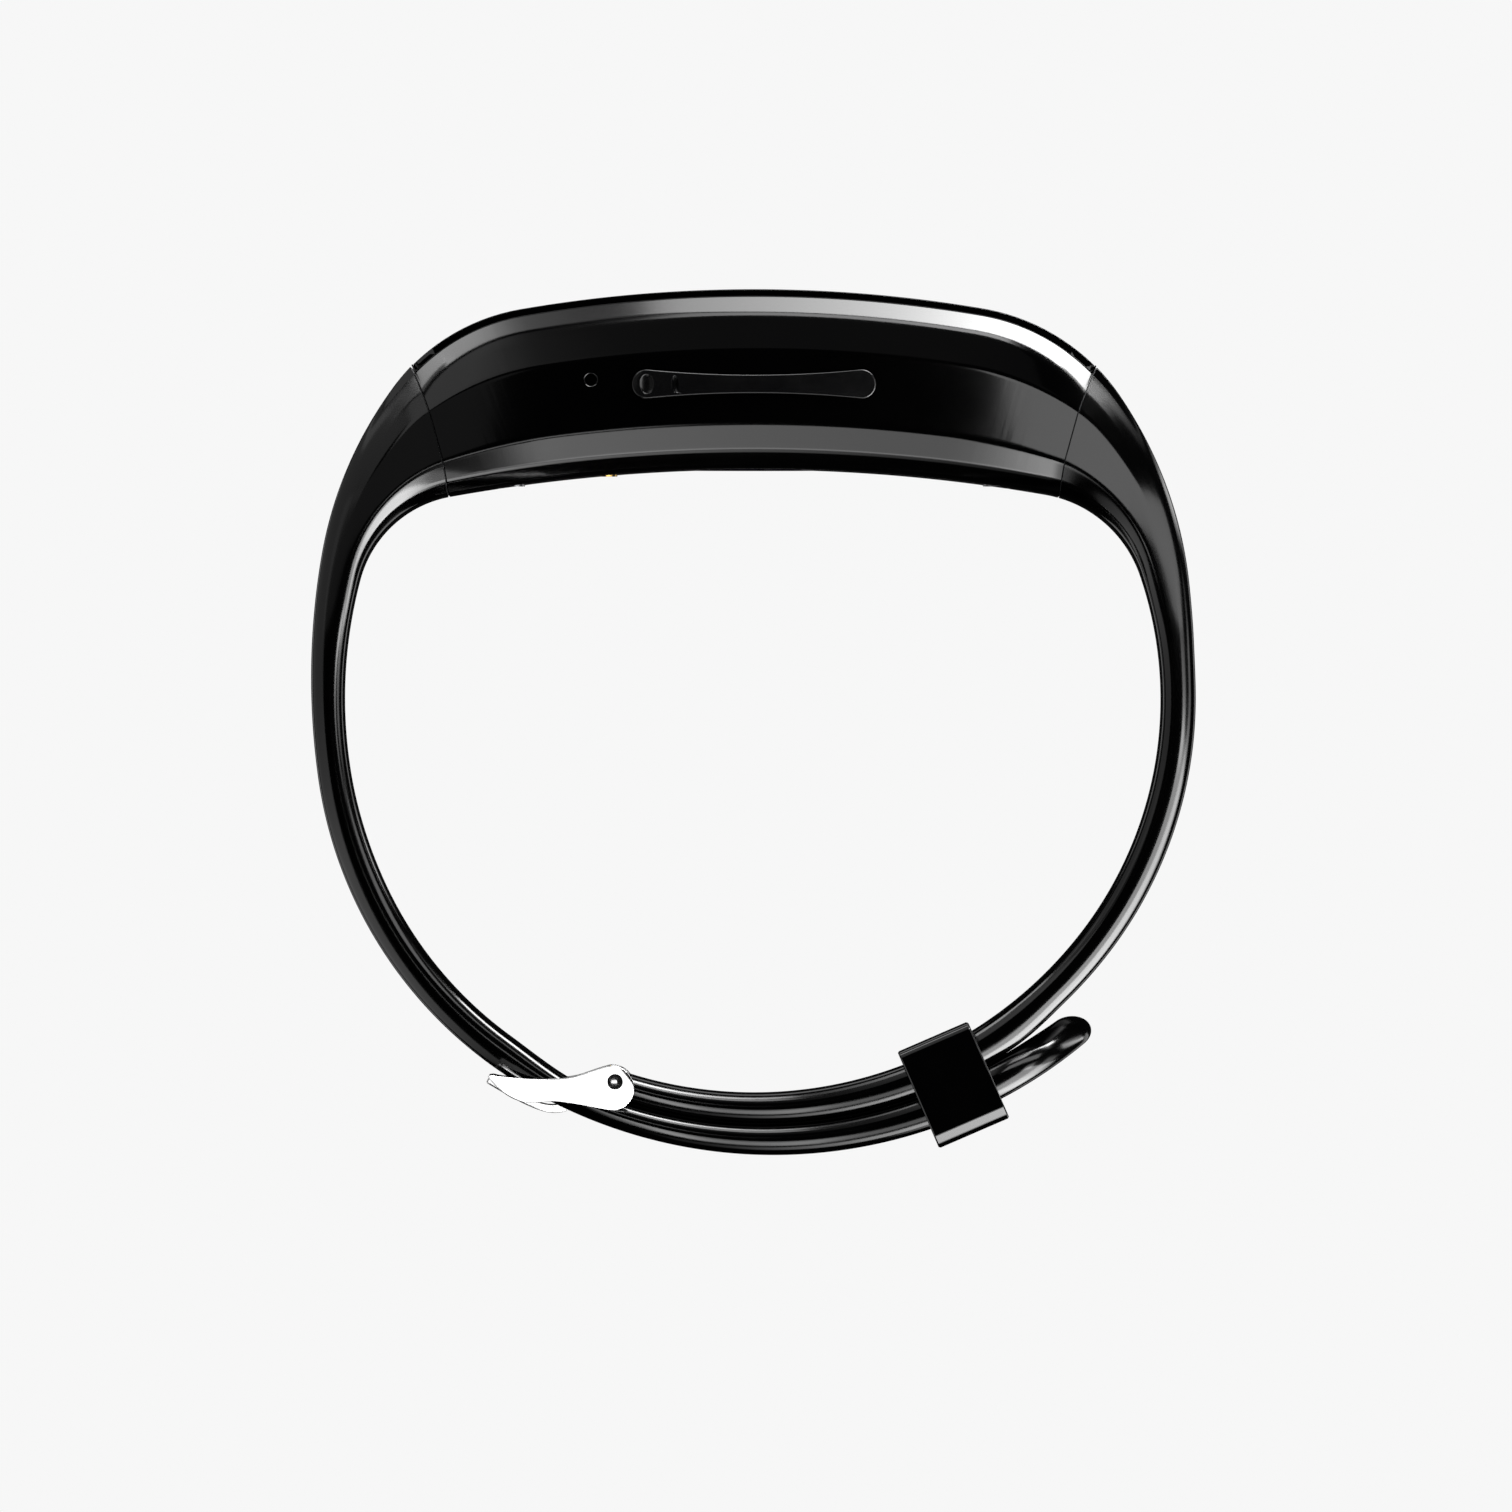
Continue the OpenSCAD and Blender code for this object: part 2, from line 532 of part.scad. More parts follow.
// ---- spring bars that hold the straps in the pod ends ----
module bar_axis(s) { bar_place(s) translate([-1.5, 0, 0]) rotate([-90, 0, 0]) children(); }
module bar_tube(s) {
  color("#b4b7bb") bar_axis(s) difference() {
    translate([0, 0, -6.2]) cylinder(r = 0.64, h = 12.4);
    translate([0, 0, -7]) cylinder(r = 0.46, h = 14);
    translate([-0.3, 0, -5.0]) cube([0.6, 1, 2.1]);
  }
}
module bar_pin(s) {
  color("#8d9095") bar_axis(s) {
    translate([0, 0, 0.6]) cylinder(r = 0.45, h = 5.8);
    translate([0, 0, 6.3]) cylinder(r = 0.4, h = 1.1);
  }
}
module release_pin(s) {
  color("#8d9095") bar_axis(s) {
    translate([0, 0, -6.3]) cylinder(r = 0.43, h = 2.6);
    translate([0, 0, -7.4]) cylinder(r = 0.4, h = 1.15);
    translate([0, 0, -4.6]) rotate([-90, 0, 0]) cylinder(r = 0.26, h = 3.2);
    translate([0, 2.9, -4.6]) rotate([-90, 0, 0]) cylinder(r = 0.45, h = 0.8);
  }
}
module bar_spring(s) {
  turns = 7;
  per = 8;
  color("#9a9da1") bar_axis(s) skin([for (i = [0 : turns * per]) let (g = i * 360 / per,
    z = -3.6 + 4.1 * i / (turns * per)) [for (k = [0 : 4]) let (h = 72 * k, r = 0.33 + 0.07 * cos(h))
      [r * cos(g), r * sin(g), z - 0.07 * sin(h)]]]);
}
module left_bar_tube() { bar_tube(-1); }
module left_bar_pin() { bar_pin(-1); }
module left_release_pin() { release_pin(-1); }
module left_bar_spring() { bar_spring(-1); }
module right_bar_tube() { bar_tube(1); }
module right_bar_pin() { bar_pin(1); }
module right_release_pin() { release_pin(1); }
module right_bar_spring() { bar_spring(1); }

upper_housing();
back_cover();
case_gasket();
case_screws();
display_lens();
lens_adhesive();
display_panel();
display_flex();
main_board();
board_components();
shield_cans();
battery();
battery_foam();
motor_can();
motor_shaft();
motor_rotor();
antenna();
tactile_switch();
switch_plunger();
button_seal();
side_button();
mic_port_ring();
mic_mesh();
microphone();
sensor_window();
sensor_board();
sensor_leds();
sensor_light_dam();
charging_contacts();
contact_flex();
hole_strap();
left_bar_tube();
left_bar_pin();
left_release_pin();
left_bar_spring();
buckle_strap();
right_bar_tube();
right_bar_pin();
right_release_pin();
right_bar_spring();
keeper();
buckle_frame();
buckle_pin();
buckle_tang();
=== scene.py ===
import json
import math

import bmesh
import bpy
from mathutils import Matrix, Vector


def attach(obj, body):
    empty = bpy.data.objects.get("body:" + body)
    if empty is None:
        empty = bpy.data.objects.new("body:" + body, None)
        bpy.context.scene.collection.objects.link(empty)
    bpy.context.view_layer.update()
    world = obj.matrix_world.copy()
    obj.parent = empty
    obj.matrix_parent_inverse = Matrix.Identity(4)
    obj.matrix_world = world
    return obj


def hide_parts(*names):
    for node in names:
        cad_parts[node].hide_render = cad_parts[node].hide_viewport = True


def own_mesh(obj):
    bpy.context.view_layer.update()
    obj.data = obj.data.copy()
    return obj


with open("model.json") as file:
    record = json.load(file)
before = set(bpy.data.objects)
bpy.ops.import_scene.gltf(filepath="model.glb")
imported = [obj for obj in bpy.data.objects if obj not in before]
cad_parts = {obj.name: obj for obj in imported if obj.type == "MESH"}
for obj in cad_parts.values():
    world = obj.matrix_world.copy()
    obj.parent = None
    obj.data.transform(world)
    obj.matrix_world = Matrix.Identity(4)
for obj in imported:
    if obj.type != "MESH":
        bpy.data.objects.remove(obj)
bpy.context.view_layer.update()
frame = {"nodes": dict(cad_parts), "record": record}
NODES = frame["nodes"]
MM = 0.001

# A slim fitness tracker band, buckled. Lengths are in millimetres and angles in degrees until a
# mesh or an object is made. A place round the band is an angle from straight up about the middle
# of the wrist opening: negative to the left on the pod, and counted from the top down its own side
# on a strap (side -1 is the long strap on the left, 1 the short strap on the right). Depth f runs
# from 0 on the outer face to 1 on the wrist side, and y runs across the band.

# ------------------------------------------------------------------ sizes
TOP_Z, BACK_Z, POD_W = 34.63, 21.98, 10.5  # pod: heights of its two faces at the middle, half width
SEAM_OUT, SEAM_IN = 39.5, 46.9  # place of the seam between pod and strap, outside and inside
SEAM_BOW, SEAM_GAP = 0.42, 0.08  # how far the seam curves, and half its gap as an angle
SEAM_MID = (SEAM_OUT + SEAM_IN) / 2
SEAM_HALF = (SEAM_IN - SEAM_OUT) / 2
RIM_Y, RIM_RUN, RIM_DEPTH = 7.665, 0.935, (0.1, 0.575)  # slant of the housing next to the glass
BEVEL_TOP, BEVEL_LOW = (8.66, 0.6), (9.7, 1.885)  # housing bevel: half width, depth below the top
STRAP_W, TAIL_W, STRAP_T = 9.9, 7.8, 2.42  # half widths at the pod and at the buckle, thickness
EDGE_SLANT, SHOULDER_SLANT = 0.577, 0.727  # bevels of a strap next to the pod: run per depth
LAYER_GAP = 0.08  # between the two straps where they overlap
TIP_AT, TIP_LEN, TIP_ROUND = 234.4, 16, 2.6  # long strap's end; it narrows over LEN, thins over ROUND
HOLE_AT, HOLE_STEP, HOLE_LEN, HOLE_W = 150.9, 11.8, 3.1, 2.1
HOLES = range(-3, 7)  # counted from the hole that the tang uses
PIN_OUT, PIN_AT, PIN_R = 23.1, 204.9, 0.55  # buckle pin: distance from the origin, place, radius
BUCKLE_TILT = 27.6
ARM_IN, ARM_T, TANG_W = 7.96, 1.3, 0.75  # inner face and thickness of the arms, half width of the tang
BAR_OVERLAP = 0.35  # of the buckle's crossbar into each arm
KEEPER_LEN, KEEPER_H, KEEPER_W = 5.37, 7.27, 2 * (TAIL_W + 1.5)
KEEPER_AT, KEEPER_TURN, KEEPER_OUT = 146.6, 156.6, 0.18  # place, direction it faces, shift outwards
KEEP_IN_H, KEEP_IN_W, KEEP_IN_SHIFT = 5.56, 2 * (TAIL_W + 0.35), -0.23  # opening of the keeper
BUTTON_LEN, BUTTON_H, BUTTON_WAIST = 17.1, 2.05, 1.3  # side button; waist: its height at the middle
BUTTON_Z, BUTTON_PROUD, BUTTON_ROOM = 27.9, 0.22, 0.11
STEM_R, STEM_ROOM = 0.8, 0.05
DIMPLES = [(-7.5, 0.52, 0.72), (-5.53, 0.26, 0.62)]  # hollows near the button's left end: x, half sizes
MIC_X, MIC_Z, MIC_R, MIC_PROUD = -11.42, 28.2, 0.53, 0.05
LENS_W, LENS_F, LENS_U, LENS_CORNER = 8.46, 0.094, 0.9925, 0.3  # U: end as a share of SEAM_MID
COVER_W, COVER_F, COVER_U, COVER_CORNER = 7.88, 0.888, 0.875, 1.6
TRAY_W, TRAY_F, TRAY_U = 7.3, 0.2, 0.84  # hollow under the glass
CAVITY_W, CAVITY_F, CAVITY_U, CAVITY_CORNER = 6.95, (0.15, 0.95), 0.72, 0.4
GAP, BED = 0.045, 0.004  # gap beside the glass and the cover; their beds are this much deeper (share)
POCKET = ((-3.4, -6.6, -1.85), (1.0, 6.6, 1.85))  # room for a strap's tongue in the pod's end
RELEASE_SLOT = ((-2.6, -5.5, -7), (-0.4, -2.6, -1))  # opening to the release knob
TONGUE_W, TONGUE_R, TONGUE_END = 6.5, 1.75, 1.2
BAR_X, BAR_REACH = -1.5, 7.65  # quick-release bar: distance from the seam, half length of its bore
COIL_R, WIRE_R, COIL_TURNS = 0.33, 0.07, 7
COIL_Y, COIL_LEN, COIL_END = -3.6, 4.1, 0.5  # END: where the spring stays fixed
SENSOR_HOLE_R, CONTACT_X, CONTACT_Y, CONTACT_R = 4.85, -10.6, 3, 1.03
SCREW_X, SCREW_Y, SCREW_HEAD_R, SCREW_R = 17.05, 6.2, 1.05, 0.66


def sin(a): return math.sin(math.radians(a))
def cos(a): return math.cos(math.radians(a))
def mix(a, b, k): return a + (b - a) * k


def smooth(x):
    c = min(1.0, max(0.0, x))
    return c * c * (3 - 2 * c)


# ------------------------------------------------------------------ outlines: chains of tangent arcs
def chain(z, arcs):
    """(radius, turn) arcs from the top at height z, as (centre x, centre z, radius, from, to)."""
    out, cx, cz, a = [], 0.0, z - arcs[0][0], 0.0
    for i, (r, turn) in enumerate(arcs):
        e = a + turn
        out.append((cx, cz, r, a, e))
        if i + 1 < len(arcs):
            s = r - arcs[i + 1][0]
            cx, cz = cx + s * sin(e), cz + s * cos(e)
        a = e
    return out


OUT_L = chain(TOP_Z, [(96.4, 9.8), (13.95, 44), (28, 26.3), (50.35, 18), (29.94, 51), (34.33, 100)])
OUT_R = chain(TOP_Z, [(96.3, 9.6), (14.54, 46.2), (28.92, 28.1), (79.5, 5.2), (30.1, 80)])
IN_L = chain(BACK_Z, [(120.6, 10.2), (7.99, 64.9), (32.3, 32.8), (27.4, 90)])
IN_R = chain(BACK_Z, [(119.8, 9.85), (8.56, 61.2), (26.8, 56.4), (28.87, 34), (29.3, 60)])


def reach(arc, a):
    """Distance from the origin to an arc in direction a."""
    m = arc[0] * sin(a) + arc[1] * cos(a)
    d = m * m - arc[0] ** 2 - arc[1] ** 2 + arc[2] ** 2
    return m + math.sqrt(d) if d >= 0 else math.nan


def face_angle(arc, a):
    """Direction that the arc faces where direction a meets it."""
    t = reach(arc, a)
    n = math.degrees(math.atan2(t * sin(a) - arc[0], t * cos(a) - arc[1]))
    return n + 360 if n < -10 else n


def arc_for(ch, a):
    for c in ch[:-1]:
        if face_angle(c, a) <= c[4]:
            return c
    return ch[-1]


def ray(ch, a): return reach(arc_for(ch, a), a)
def normal_at(ch, a): return face_angle(arc_for(ch, a), a)


def layer(la):
    """Half of the room for the two straps where they overlap, at la on the long strap."""
    return (ray(OUT_L, la) - ray(IN_R, 360 - la) - LAYER_GAP) / 2


def long_t(la):
    """Thickness of the long strap."""
    return mix(mix(STRAP_T, layer(la), smooth((la - 136) / 18)), STRAP_T, smooth((la - 222) / 14))


def long_out(la): return ray(OUT_L, la)


def long_in(la):
    if la < 90:
        return ray(IN_L, la)
    return mix(ray(IN_L, la), long_out(la) - long_t(la), smooth((la - 90) / 15))


def short_in(ra): return ray(IN_R, ra)


def short_out(ra):
    if ra < 70:
        return ray(OUT_R, ra)
    t = mix(STRAP_T, layer(360 - ra), smooth((ra - 125) / 13))
    return mix(ray(OUT_R, ra), ray(IN_R, ra) + t, smooth((ra - 70) / 15))


def pod_out(a): return ray(OUT_L if a < 0 else OUT_R, abs(a))
def pod_in(a): return ray(IN_L if a < 0 else IN_R, abs(a))


def lean(a):
    """How far a section leans like the seam: 0 at the middle of the pod, 1 at the seam."""
    b = abs(a)
    return b / SEAM_MID if b <= SEAM_MID else 1 - smooth((b - SEAM_MID) / 30)


def bow(a):
    b = abs(a)
    return (b / SEAM_MID) ** 2 if b <= SEAM_MID else lean(a)


def rib(ro, ri, ao, ai, a, f):
    """(x, z) at depth f between the outer point (ro, ao) and the inner point (ri, ai)."""
    s = -1 if a < 0 else 1
    x = mix(ro * sin(ao), ri * sin(ai), f) - s * SEAM_BOW * bow(a) * 4 * f * (1 - f)
    return x, mix(ro * cos(ao), ri * cos(ai), f)


def pod_pt(a, f):
    s = -1 if a < 0 else 1
    d = SEAM_HALF * lean(a) * s
    return rib(pod_out(a - d), pod_in(a + d), a - d, a + d, a, f)


def strap_pt(side, b, f):
    d = SEAM_HALF * lean(b)
    o, i = b - d, b + d
    ro, ri = (long_out(o), long_in(i)) if side < 0 else (short_out(o), short_in(i))
    return rib(ro, ri, side * o, side * i, side * min(b, 179), f)


def apart(p, q): return math.hypot(p[0] - q[0], p[1] - q[1])
def pod_thick(a): return apart(pod_pt(a, 0), pod_pt(a, 1))
def strap_thick(side, b): return apart(strap_pt(side, b, 0), strap_pt(side, b, 1))


# ------------------------------------------------------------------ sections, as half widths and depths
def pod_half(w, t):
    """Half section of a strap next to the pod, w wide and t thick; it is the housing's section,
    and its bevels keep their slant as the strap gets thinner."""
    y5 = w - 0.142 * t * EDGE_SLANT
    y4 = y5 - 0.07 * t * SHOULDER_SLANT
    y3 = y4 - 0.068 * t * SHOULDER_SLANT
    return [(0, 0), (0.46 * w, 0), (y3 - 0.2, 0.006), (y3, 0.062), (y4, 0.13), (y5, 0.2),
            (w, 0.342), (w, 0.739), (0.929 * w, 0.894), (0.829 * w, 0.985), (0.75 * w, 1),
            (0.38 * w, 1), (0, 1)]


def strap_half(w):
    """Half section of a strap away from the pod; its edges shrink where the tip is narrow."""
    k = min(1.0, w / 2.2)

    def e(d): return w - d * k
    return [(0, 0), (0.5 * w, 0), (e(1.1), 0), (e(0.75), 0.03), (e(0.42), 0.124), (e(0.17), 0.29),
            (w, 0.47), (w, 0.66), (e(0.22), 0.83), (e(0.5), 0.95), (e(0.95), 1), (0.4 * w, 1), (0, 1)]


# corner radii that go with the points of pod_half and of strap_half
POD_R = [0, 0.3, 0.05, 0.06, 0.3, 0.16, 0.3, 0.35, 0.3, 0.3, 0.3, 0.3, 0]
STRAP_R = [0, 1.0, 0.5, 0.3, 0.3, 0.3, 0.35, 0.35, 0.2, 0.25, 0.4, 1.0, 0]


# ------------------------------------------------------------------ mesh helpers
def rounded(path, radii, n=4):
    """path with every inner corner turned into a short curve of n + 1 points."""
    out = [path[0]]
    for i in range(1, len(path) - 1):
        p, a, b = Vector(path[i]), Vector(path[i - 1]), Vector(path[i + 1])
        la, lb = (a - p).length, (b - p).length
        if la < 1e-7 or lb < 1e-7:
            out += [tuple(p)] * (n + 1)
            continue
        s, e = p + (a - p) * min(radii[i] / la, 0.46), p + (b - p) * min(radii[i] / lb, 0.46)
        for k in range(n + 1):
            t = k / n
            out.append(tuple(s * (1 - t) ** 2 + p * 2 * t * (1 - t) + e * t * t))
    return out + [path[-1]]


def link(name, bm, mat, angle=32, smooth_faces=True):
    """New object from a bmesh, smooth across edges below angle (0: across all of them)."""
    me = bpy.data.meshes.new(name)
    bmesh.ops.recalc_face_normals(bm, faces=bm.faces)
    bm.to_mesh(me)
    bm.free()
    for p in me.polygons:
        p.use_smooth = smooth_faces
    if angle and smooth_faces:
        me.set_sharp_from_angle(angle=math.radians(angle))
    ob = bpy.data.objects.new(name, me)
    bpy.context.scene.collection.objects.link(ob)
    if mat:
        me.materials.append(mat)
    return ob


def loft(rings):
    """Closed bmesh skin over rings of (x, y, z)."""
    bm = bmesh.new()
    vs = [[bm.verts.new(Vector(p) * MM) for p in r] for r in rings]
    n = len(rings[0])
    for a, b in zip(vs, vs[1:]):
        for j in range(n):
            k = (j + 1) % n
            bm.faces.new((a[j], b[j], b[k], a[k]))
    bm.faces.new(vs[0])
    bm.faces.new(vs[-1])
    return bm


def prism(outline, w0, w1, place):
    """bmesh prism of a 2D outline between two depths; place turns (u, v, w) into (x, y, z)."""
    return loft([[place(u, v, w) for u, v in outline] for w in (w0, w1)])


def lathe(profile, n, place):
    """bmesh turned about an axis; profile is (radius, height) from the axis to the axis."""
    bm = bmesh.new()
    rows = []
    for r, h in profile:
        turns = [0] if r < 1e-6 else [360 * k / n for k in range(n)]
        rows.append([bm.verts.new(Vector(place(r * cos(t), r * sin(t), h)) * MM) for t in turns])
    for a, b in zip(rows, rows[1:]):
        for k in range(n):
            j = (k + 1) % n
            q = [a[k % len(a)], b[k % len(b)], b[j % len(b)], a[j % len(a)]]
            q = [v for i, v in enumerate(q) if v not in q[:i]]
            if len(q) > 2:
                bm.faces.new(q)
    return bm


def apply_mods(ob):
    dg = bpy.context.evaluated_depsgraph_get()
    me = bpy.data.meshes.new_from_object(ob.evaluated_get(dg), depsgraph=dg)
    old = ob.data
    ob.modifiers.clear()
    ob.data = me
    me.name = ob.name
    bpy.data.meshes.remove(old)


def finish_normals(ob, sharp=32):
    """Large faces keep their own direction; the small faces of rounded edges blend between them."""
    for p in ob.data.polygons:
        p.use_smooth = True
    ob.data.set_sharp_from_angle(angle=math.radians(sharp))
    m = ob.modifiers.new("normals", "WEIGHTED_NORMAL")
    m.mode, m.weight, m.keep_sharp = "FACE_AREA", 60, True
    apply_mods(ob)
    return ob


def bevel(ob, width, segments=3):
    m = ob.modifiers.new("bevel", "BEVEL")
    m.width, m.segments, m.limit_method = width * MM, segments, "ANGLE"
    m.angle_limit = math.radians(50)
    m.use_clamp_overlap = True
    apply_mods(ob)
    return finish_normals(ob, 38)


def cut(ob, cutters, sharp=32):
    """Take each cutter away from ob, and remove it."""
    for c in cutters:
        m = ob.modifiers.new("cut", "BOOLEAN")
        m.operation, m.solver, m.object = "DIFFERENCE", "EXACT", c
        apply_mods(ob)
        bpy.data.objects.remove(c)
    return finish_normals(ob, sharp)


def join(obs, name):
    """One object from several; each keeps its own material."""
    bm = bmesh.new()
    mats = []
    for o in obs:
        base = len(mats)
        mats += list(o.data.materials)
        tmp = o.data.copy()
        for p in tmp.polygons:
            p.material_index += base
        bm.from_mesh(tmp)
        bpy.data.meshes.remove(tmp)
    me = bpy.data.meshes.new(name)
    bm.to_mesh(me)
    bm.free()
    for m in mats:
        me.materials.append(m)
    out = bpy.data.objects.new(name, me)
    bpy.context.scene.collection.objects.link(out)
    for o in obs:
        bpy.data.objects.remove(o)
    return out


def cutter(bm): return link("cutter", bm, None, 0)
def as_is(x, y, z): return (x, y, z)


def circle(cx, cy, r, n=40):
    return [(cx + r * cos(360 * k / n), cy + r * sin(360 * k / n)) for k in range(n)]


def box_in(place, lo, hi):
    """Box cutter between two corners in a frame of its own."""
    o = [(lo[0], lo[2]), (hi[0], lo[2]), (hi[0], hi[2]), (lo[0], hi[2])]
    return cutter(prism(o, lo[1], hi[1], lambda u, v, w: place(u, w, v)))


def rod_y(cx, cz, r, y0, y1, name="cutter", place=as_is):
    outline = circle(cx, cz, r, 48)
    return link(name, prism(outline, y0, y1, lambda u, v, w: place(u, w, v)), None, 0)


def rod_z(cx, cy, r, z0, z1, n=32):
    return cutter(prism(circle(cx, cy, r, n), z0, z1, as_is))


def mirrored(pts):
    """Whole ring from half a section, given from the middle outside to the middle inside."""
    return [(-y, f) for y, f in pts] + [(y, f) for y, f in reversed(pts[1:-1])]


# ------------------------------------------------------------------ materials
def material(name, color, rough, metal=0.0, grain=0.0, grain_size=0.1, vary=0.0, vary_size=4.0,
             stretch=(1, 1, 1), tint=0.0):
    """Principled surface whose bump (grain), roughness (vary) and colour (tint) come from noise."""
    m = bpy.data.materials.new(name)
    m.use_nodes = True
    nt = m.node_tree
    p = nt.nodes["Principled BSDF"]
    p.inputs["Base Color"].default_value = (*color, 1)
    p.inputs["Roughness"].default_value = rough
    p.inputs["Metallic"].default_value = metal
    co = nt.nodes.new("ShaderNodeTexCoord")
    mp = nt.nodes.new("ShaderNodeMapping")
    mp.inputs["Scale"].default_value = stretch
    nt.links.new(co.outputs["Object"], mp.inputs["Vector"])

    def noise(size, detail):
        t = nt.nodes.new("ShaderNodeTexNoise")
        t.inputs["Scale"].default_value = 1 / (size * MM)
        t.inputs["Detail"].default_value = detail
        nt.links.new(mp.outputs["Vector"], t.inputs["Vector"])
        return t
    if vary:
        t = noise(vary_size, 4)
        r = nt.nodes.new("ShaderNodeMapRange")
        r.inputs["To Min"].default_value = rough - vary
        r.inputs["To Max"].default_value = rough + vary
        r.inputs["From Min"].default_value, r.inputs["From Max"].default_value = 0.3, 0.7
        nt.links.new(t.outputs["Fac"], r.inputs["Value"])
        nt.links.new(r.outputs["Result"], p.inputs["Roughness"])
    if tint:
        t = noise(vary_size * 1.7, 5)
        mx = nt.nodes.new("ShaderNodeMix")
        mx.data_type = "RGBA"
        mx.inputs["A"].default_value = (*[c * (1 - tint) for c in color], 1)
        mx.inputs["B"].default_value = (*[min(1, c * (1 + tint)) for c in color], 1)
        nt.links.new(t.outputs["Fac"], mx.inputs["Factor"])
        nt.links.new(mx.outputs["Result"], p.inputs["Base Color"])
    if grain:
        t = noise(grain_size, 3)
        b = nt.nodes.new("ShaderNodeBump")
        b.inputs["Strength"].default_value = grain
        b.inputs["Distance"].default_value = grain_size * MM * 0.25
        nt.links.new(t.outputs["Fac"], b.inputs["Height"])
        nt.links.new(b.outputs["Normal"], p.inputs["Normal"])
    return m


LOOKS = (
    ("housing", (0.0002, 0.0002, 0.00025), 0.1,
     dict(grain=0.03, grain_size=0.09, vary=0.012, tint=0.1)),
    ("back_plastic", (0.0015, 0.0015, 0.0017), 0.22,
     dict(grain=0.25, grain_size=0.1, vary=0.04, tint=0.12)),
    ("display_glass", (0.0002, 0.0002, 0.00025), 0.04, dict(vary=0.012, vary_size=9, tint=0.2)),
    ("sensor_glass", (0.004, 0.004, 0.006), 0.05, dict(vary=0.015, vary_size=3, tint=0.2)),
    ("strap_rubber", (0.0002, 0.0002, 0.00023), 0.13,
     dict(grain=0.03, grain_size=0.1, vary=0.015, vary_size=3, tint=0.12)),
    ("keeper_rubber", (0.0002, 0.0002, 0.00023), 0.13,
     dict(grain=0.03, grain_size=0.1, vary=0.015, vary_size=2, tint=0.12)),
    ("button_metal", (0.002, 0.002, 0.0022), 0.2,
     dict(grain=0.06, grain_size=0.06, vary=0.03, vary_size=1.5, tint=0.15)),
    ("buckle_steel", (0.8, 0.8, 0.8), 0.13,
     dict(metal=1, grain=0.03, grain_size=0.12, vary=0.04, vary_size=1.2, stretch=(1, 1, 5), tint=0.03)),
    ("pin_steel", (0.45, 0.45, 0.46), 0.24,
     dict(metal=1, grain=0.1, grain_size=0.08, vary=0.06, vary_size=0.6, stretch=(6, 1, 6), tint=0.08)),
    ("seal_rubber", (0.028, 0.028, 0.03), 0.55, dict(grain=0.3, grain_size=0.08, vary=0.05, tint=0.15)),
    ("adhesive", (0.05, 0.05, 0.052), 0.5, dict(grain=0.2, grain_size=0.08, vary=0.05, tint=0.15)),
    ("panel", (0.008, 0.011, 0.024), 0.12,
     dict(vary=0.03, vary_size=3, grain=0.05, grain_size=0.05, tint=0.2)),
    ("flex_film", (0.42, 0.16, 0.03), 0.25,
     dict(vary=0.06, vary_size=1, grain=0.2, grain_size=0.2, tint=0.25)),
    ("board_green", (0.01, 0.055, 0.028), 0.3,
     dict(vary=0.08, vary_size=0.8, grain=0.3, grain_size=0.25, tint=0.35)),
    ("chip_black", (0.015, 0.015, 0.016), 0.45,
     dict(grain=0.25, grain_size=0.05, vary=0.05, vary_size=0.7, tint=0.2)),
    ("shield_tin", (0.5, 0.5, 0.5), 0.32,
     dict(metal=1, grain=0.2, grain_size=0.15, vary=0.08, vary_size=1.5, tint=0.08)),
    ("battery_foil", (0.32, 0.33, 0.35), 0.4,
     dict(metal=1, grain=0.5, grain_size=0.6, vary=0.1, vary_size=2, tint=0.1)),
    ("foam", (0.045, 0.08, 0.13), 0.9, dict(grain=0.9, grain_size=0.15, vary=0.05, tint=0.25)),
    ("tungsten", (0.4, 0.3, 0.12), 0.3,
     dict(metal=1, grain=0.2, grain_size=0.08, vary=0.06, vary_size=1, tint=0.12)),
    ("copper", (0.6, 0.3, 0.12), 0.28,
     dict(metal=1, grain=0.15, grain_size=0.1, vary=0.06, vary_size=1, tint=0.12)),
    ("switch_white", (0.6, 0.6, 0.58), 0.45, dict(grain=0.15, grain_size=0.08, vary=0.05, tint=0.05)),
    ("gold_contact", (0.75, 0.5, 0.15), 0.18,
     dict(metal=1, grain=0.12, grain_size=0.08, vary=0.05, vary_size=0.6, tint=0.08)),
    ("mesh_steel", (0.08, 0.08, 0.085), 0.4,
     dict(metal=1, grain=1.0, grain_size=0.06, vary=0.1, vary_size=0.3, tint=0.3)),
    ("led_green", (0.18, 0.55, 0.25), 0.2,
     dict(vary=0.05, vary_size=0.5, grain=0.1, grain_size=0.08, tint=0.2)),
)
M = {name: material(name, color, rough, **look) for name, color, rough, look in LOOKS}
for row in frame["record"]["subparts"]:
    ob = NODES.get(row["node"])
    if ob is not None:
        ob.data.materials.clear()
        ob.data.materials.append(M[row["material_slot"]])


def piece(ob, body, slot, *nodes):
    """Hand a finished object over: its body and the CAD nodes it replaces, which get hidden. slot, its
    material slot, is not used.
    """
    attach(ob, body)
    if nodes:
        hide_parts(*nodes)
    return ob


# ------------------------------------------------------------------ pod: distances along its outside
TABLE_N = 400
TABLE_A = [SEAM_MID * (2 * i / TABLE_N - 1) for i in range(TABLE_N + 1)]
TABLE_S = [0.0]
for p, q in zip(TABLE_A, TABLE_A[1:]):
    TABLE_S.append(TABLE_S[-1] + apart(pod_pt(q, 0), pod_pt(p, 0)))
TABLE_S = [s - TABLE_S[TABLE_N // 2] for s in TABLE_S]


def arc_at(a):
    """Distance along the outside of the pod from its middle to a."""
    k = (a / SEAM_MID + 1) / 2 * TABLE_N
    i = min(TABLE_N - 1, max(0, int(k)))
    return mix(TABLE_S[i], TABLE_S[i + 1], k - i)


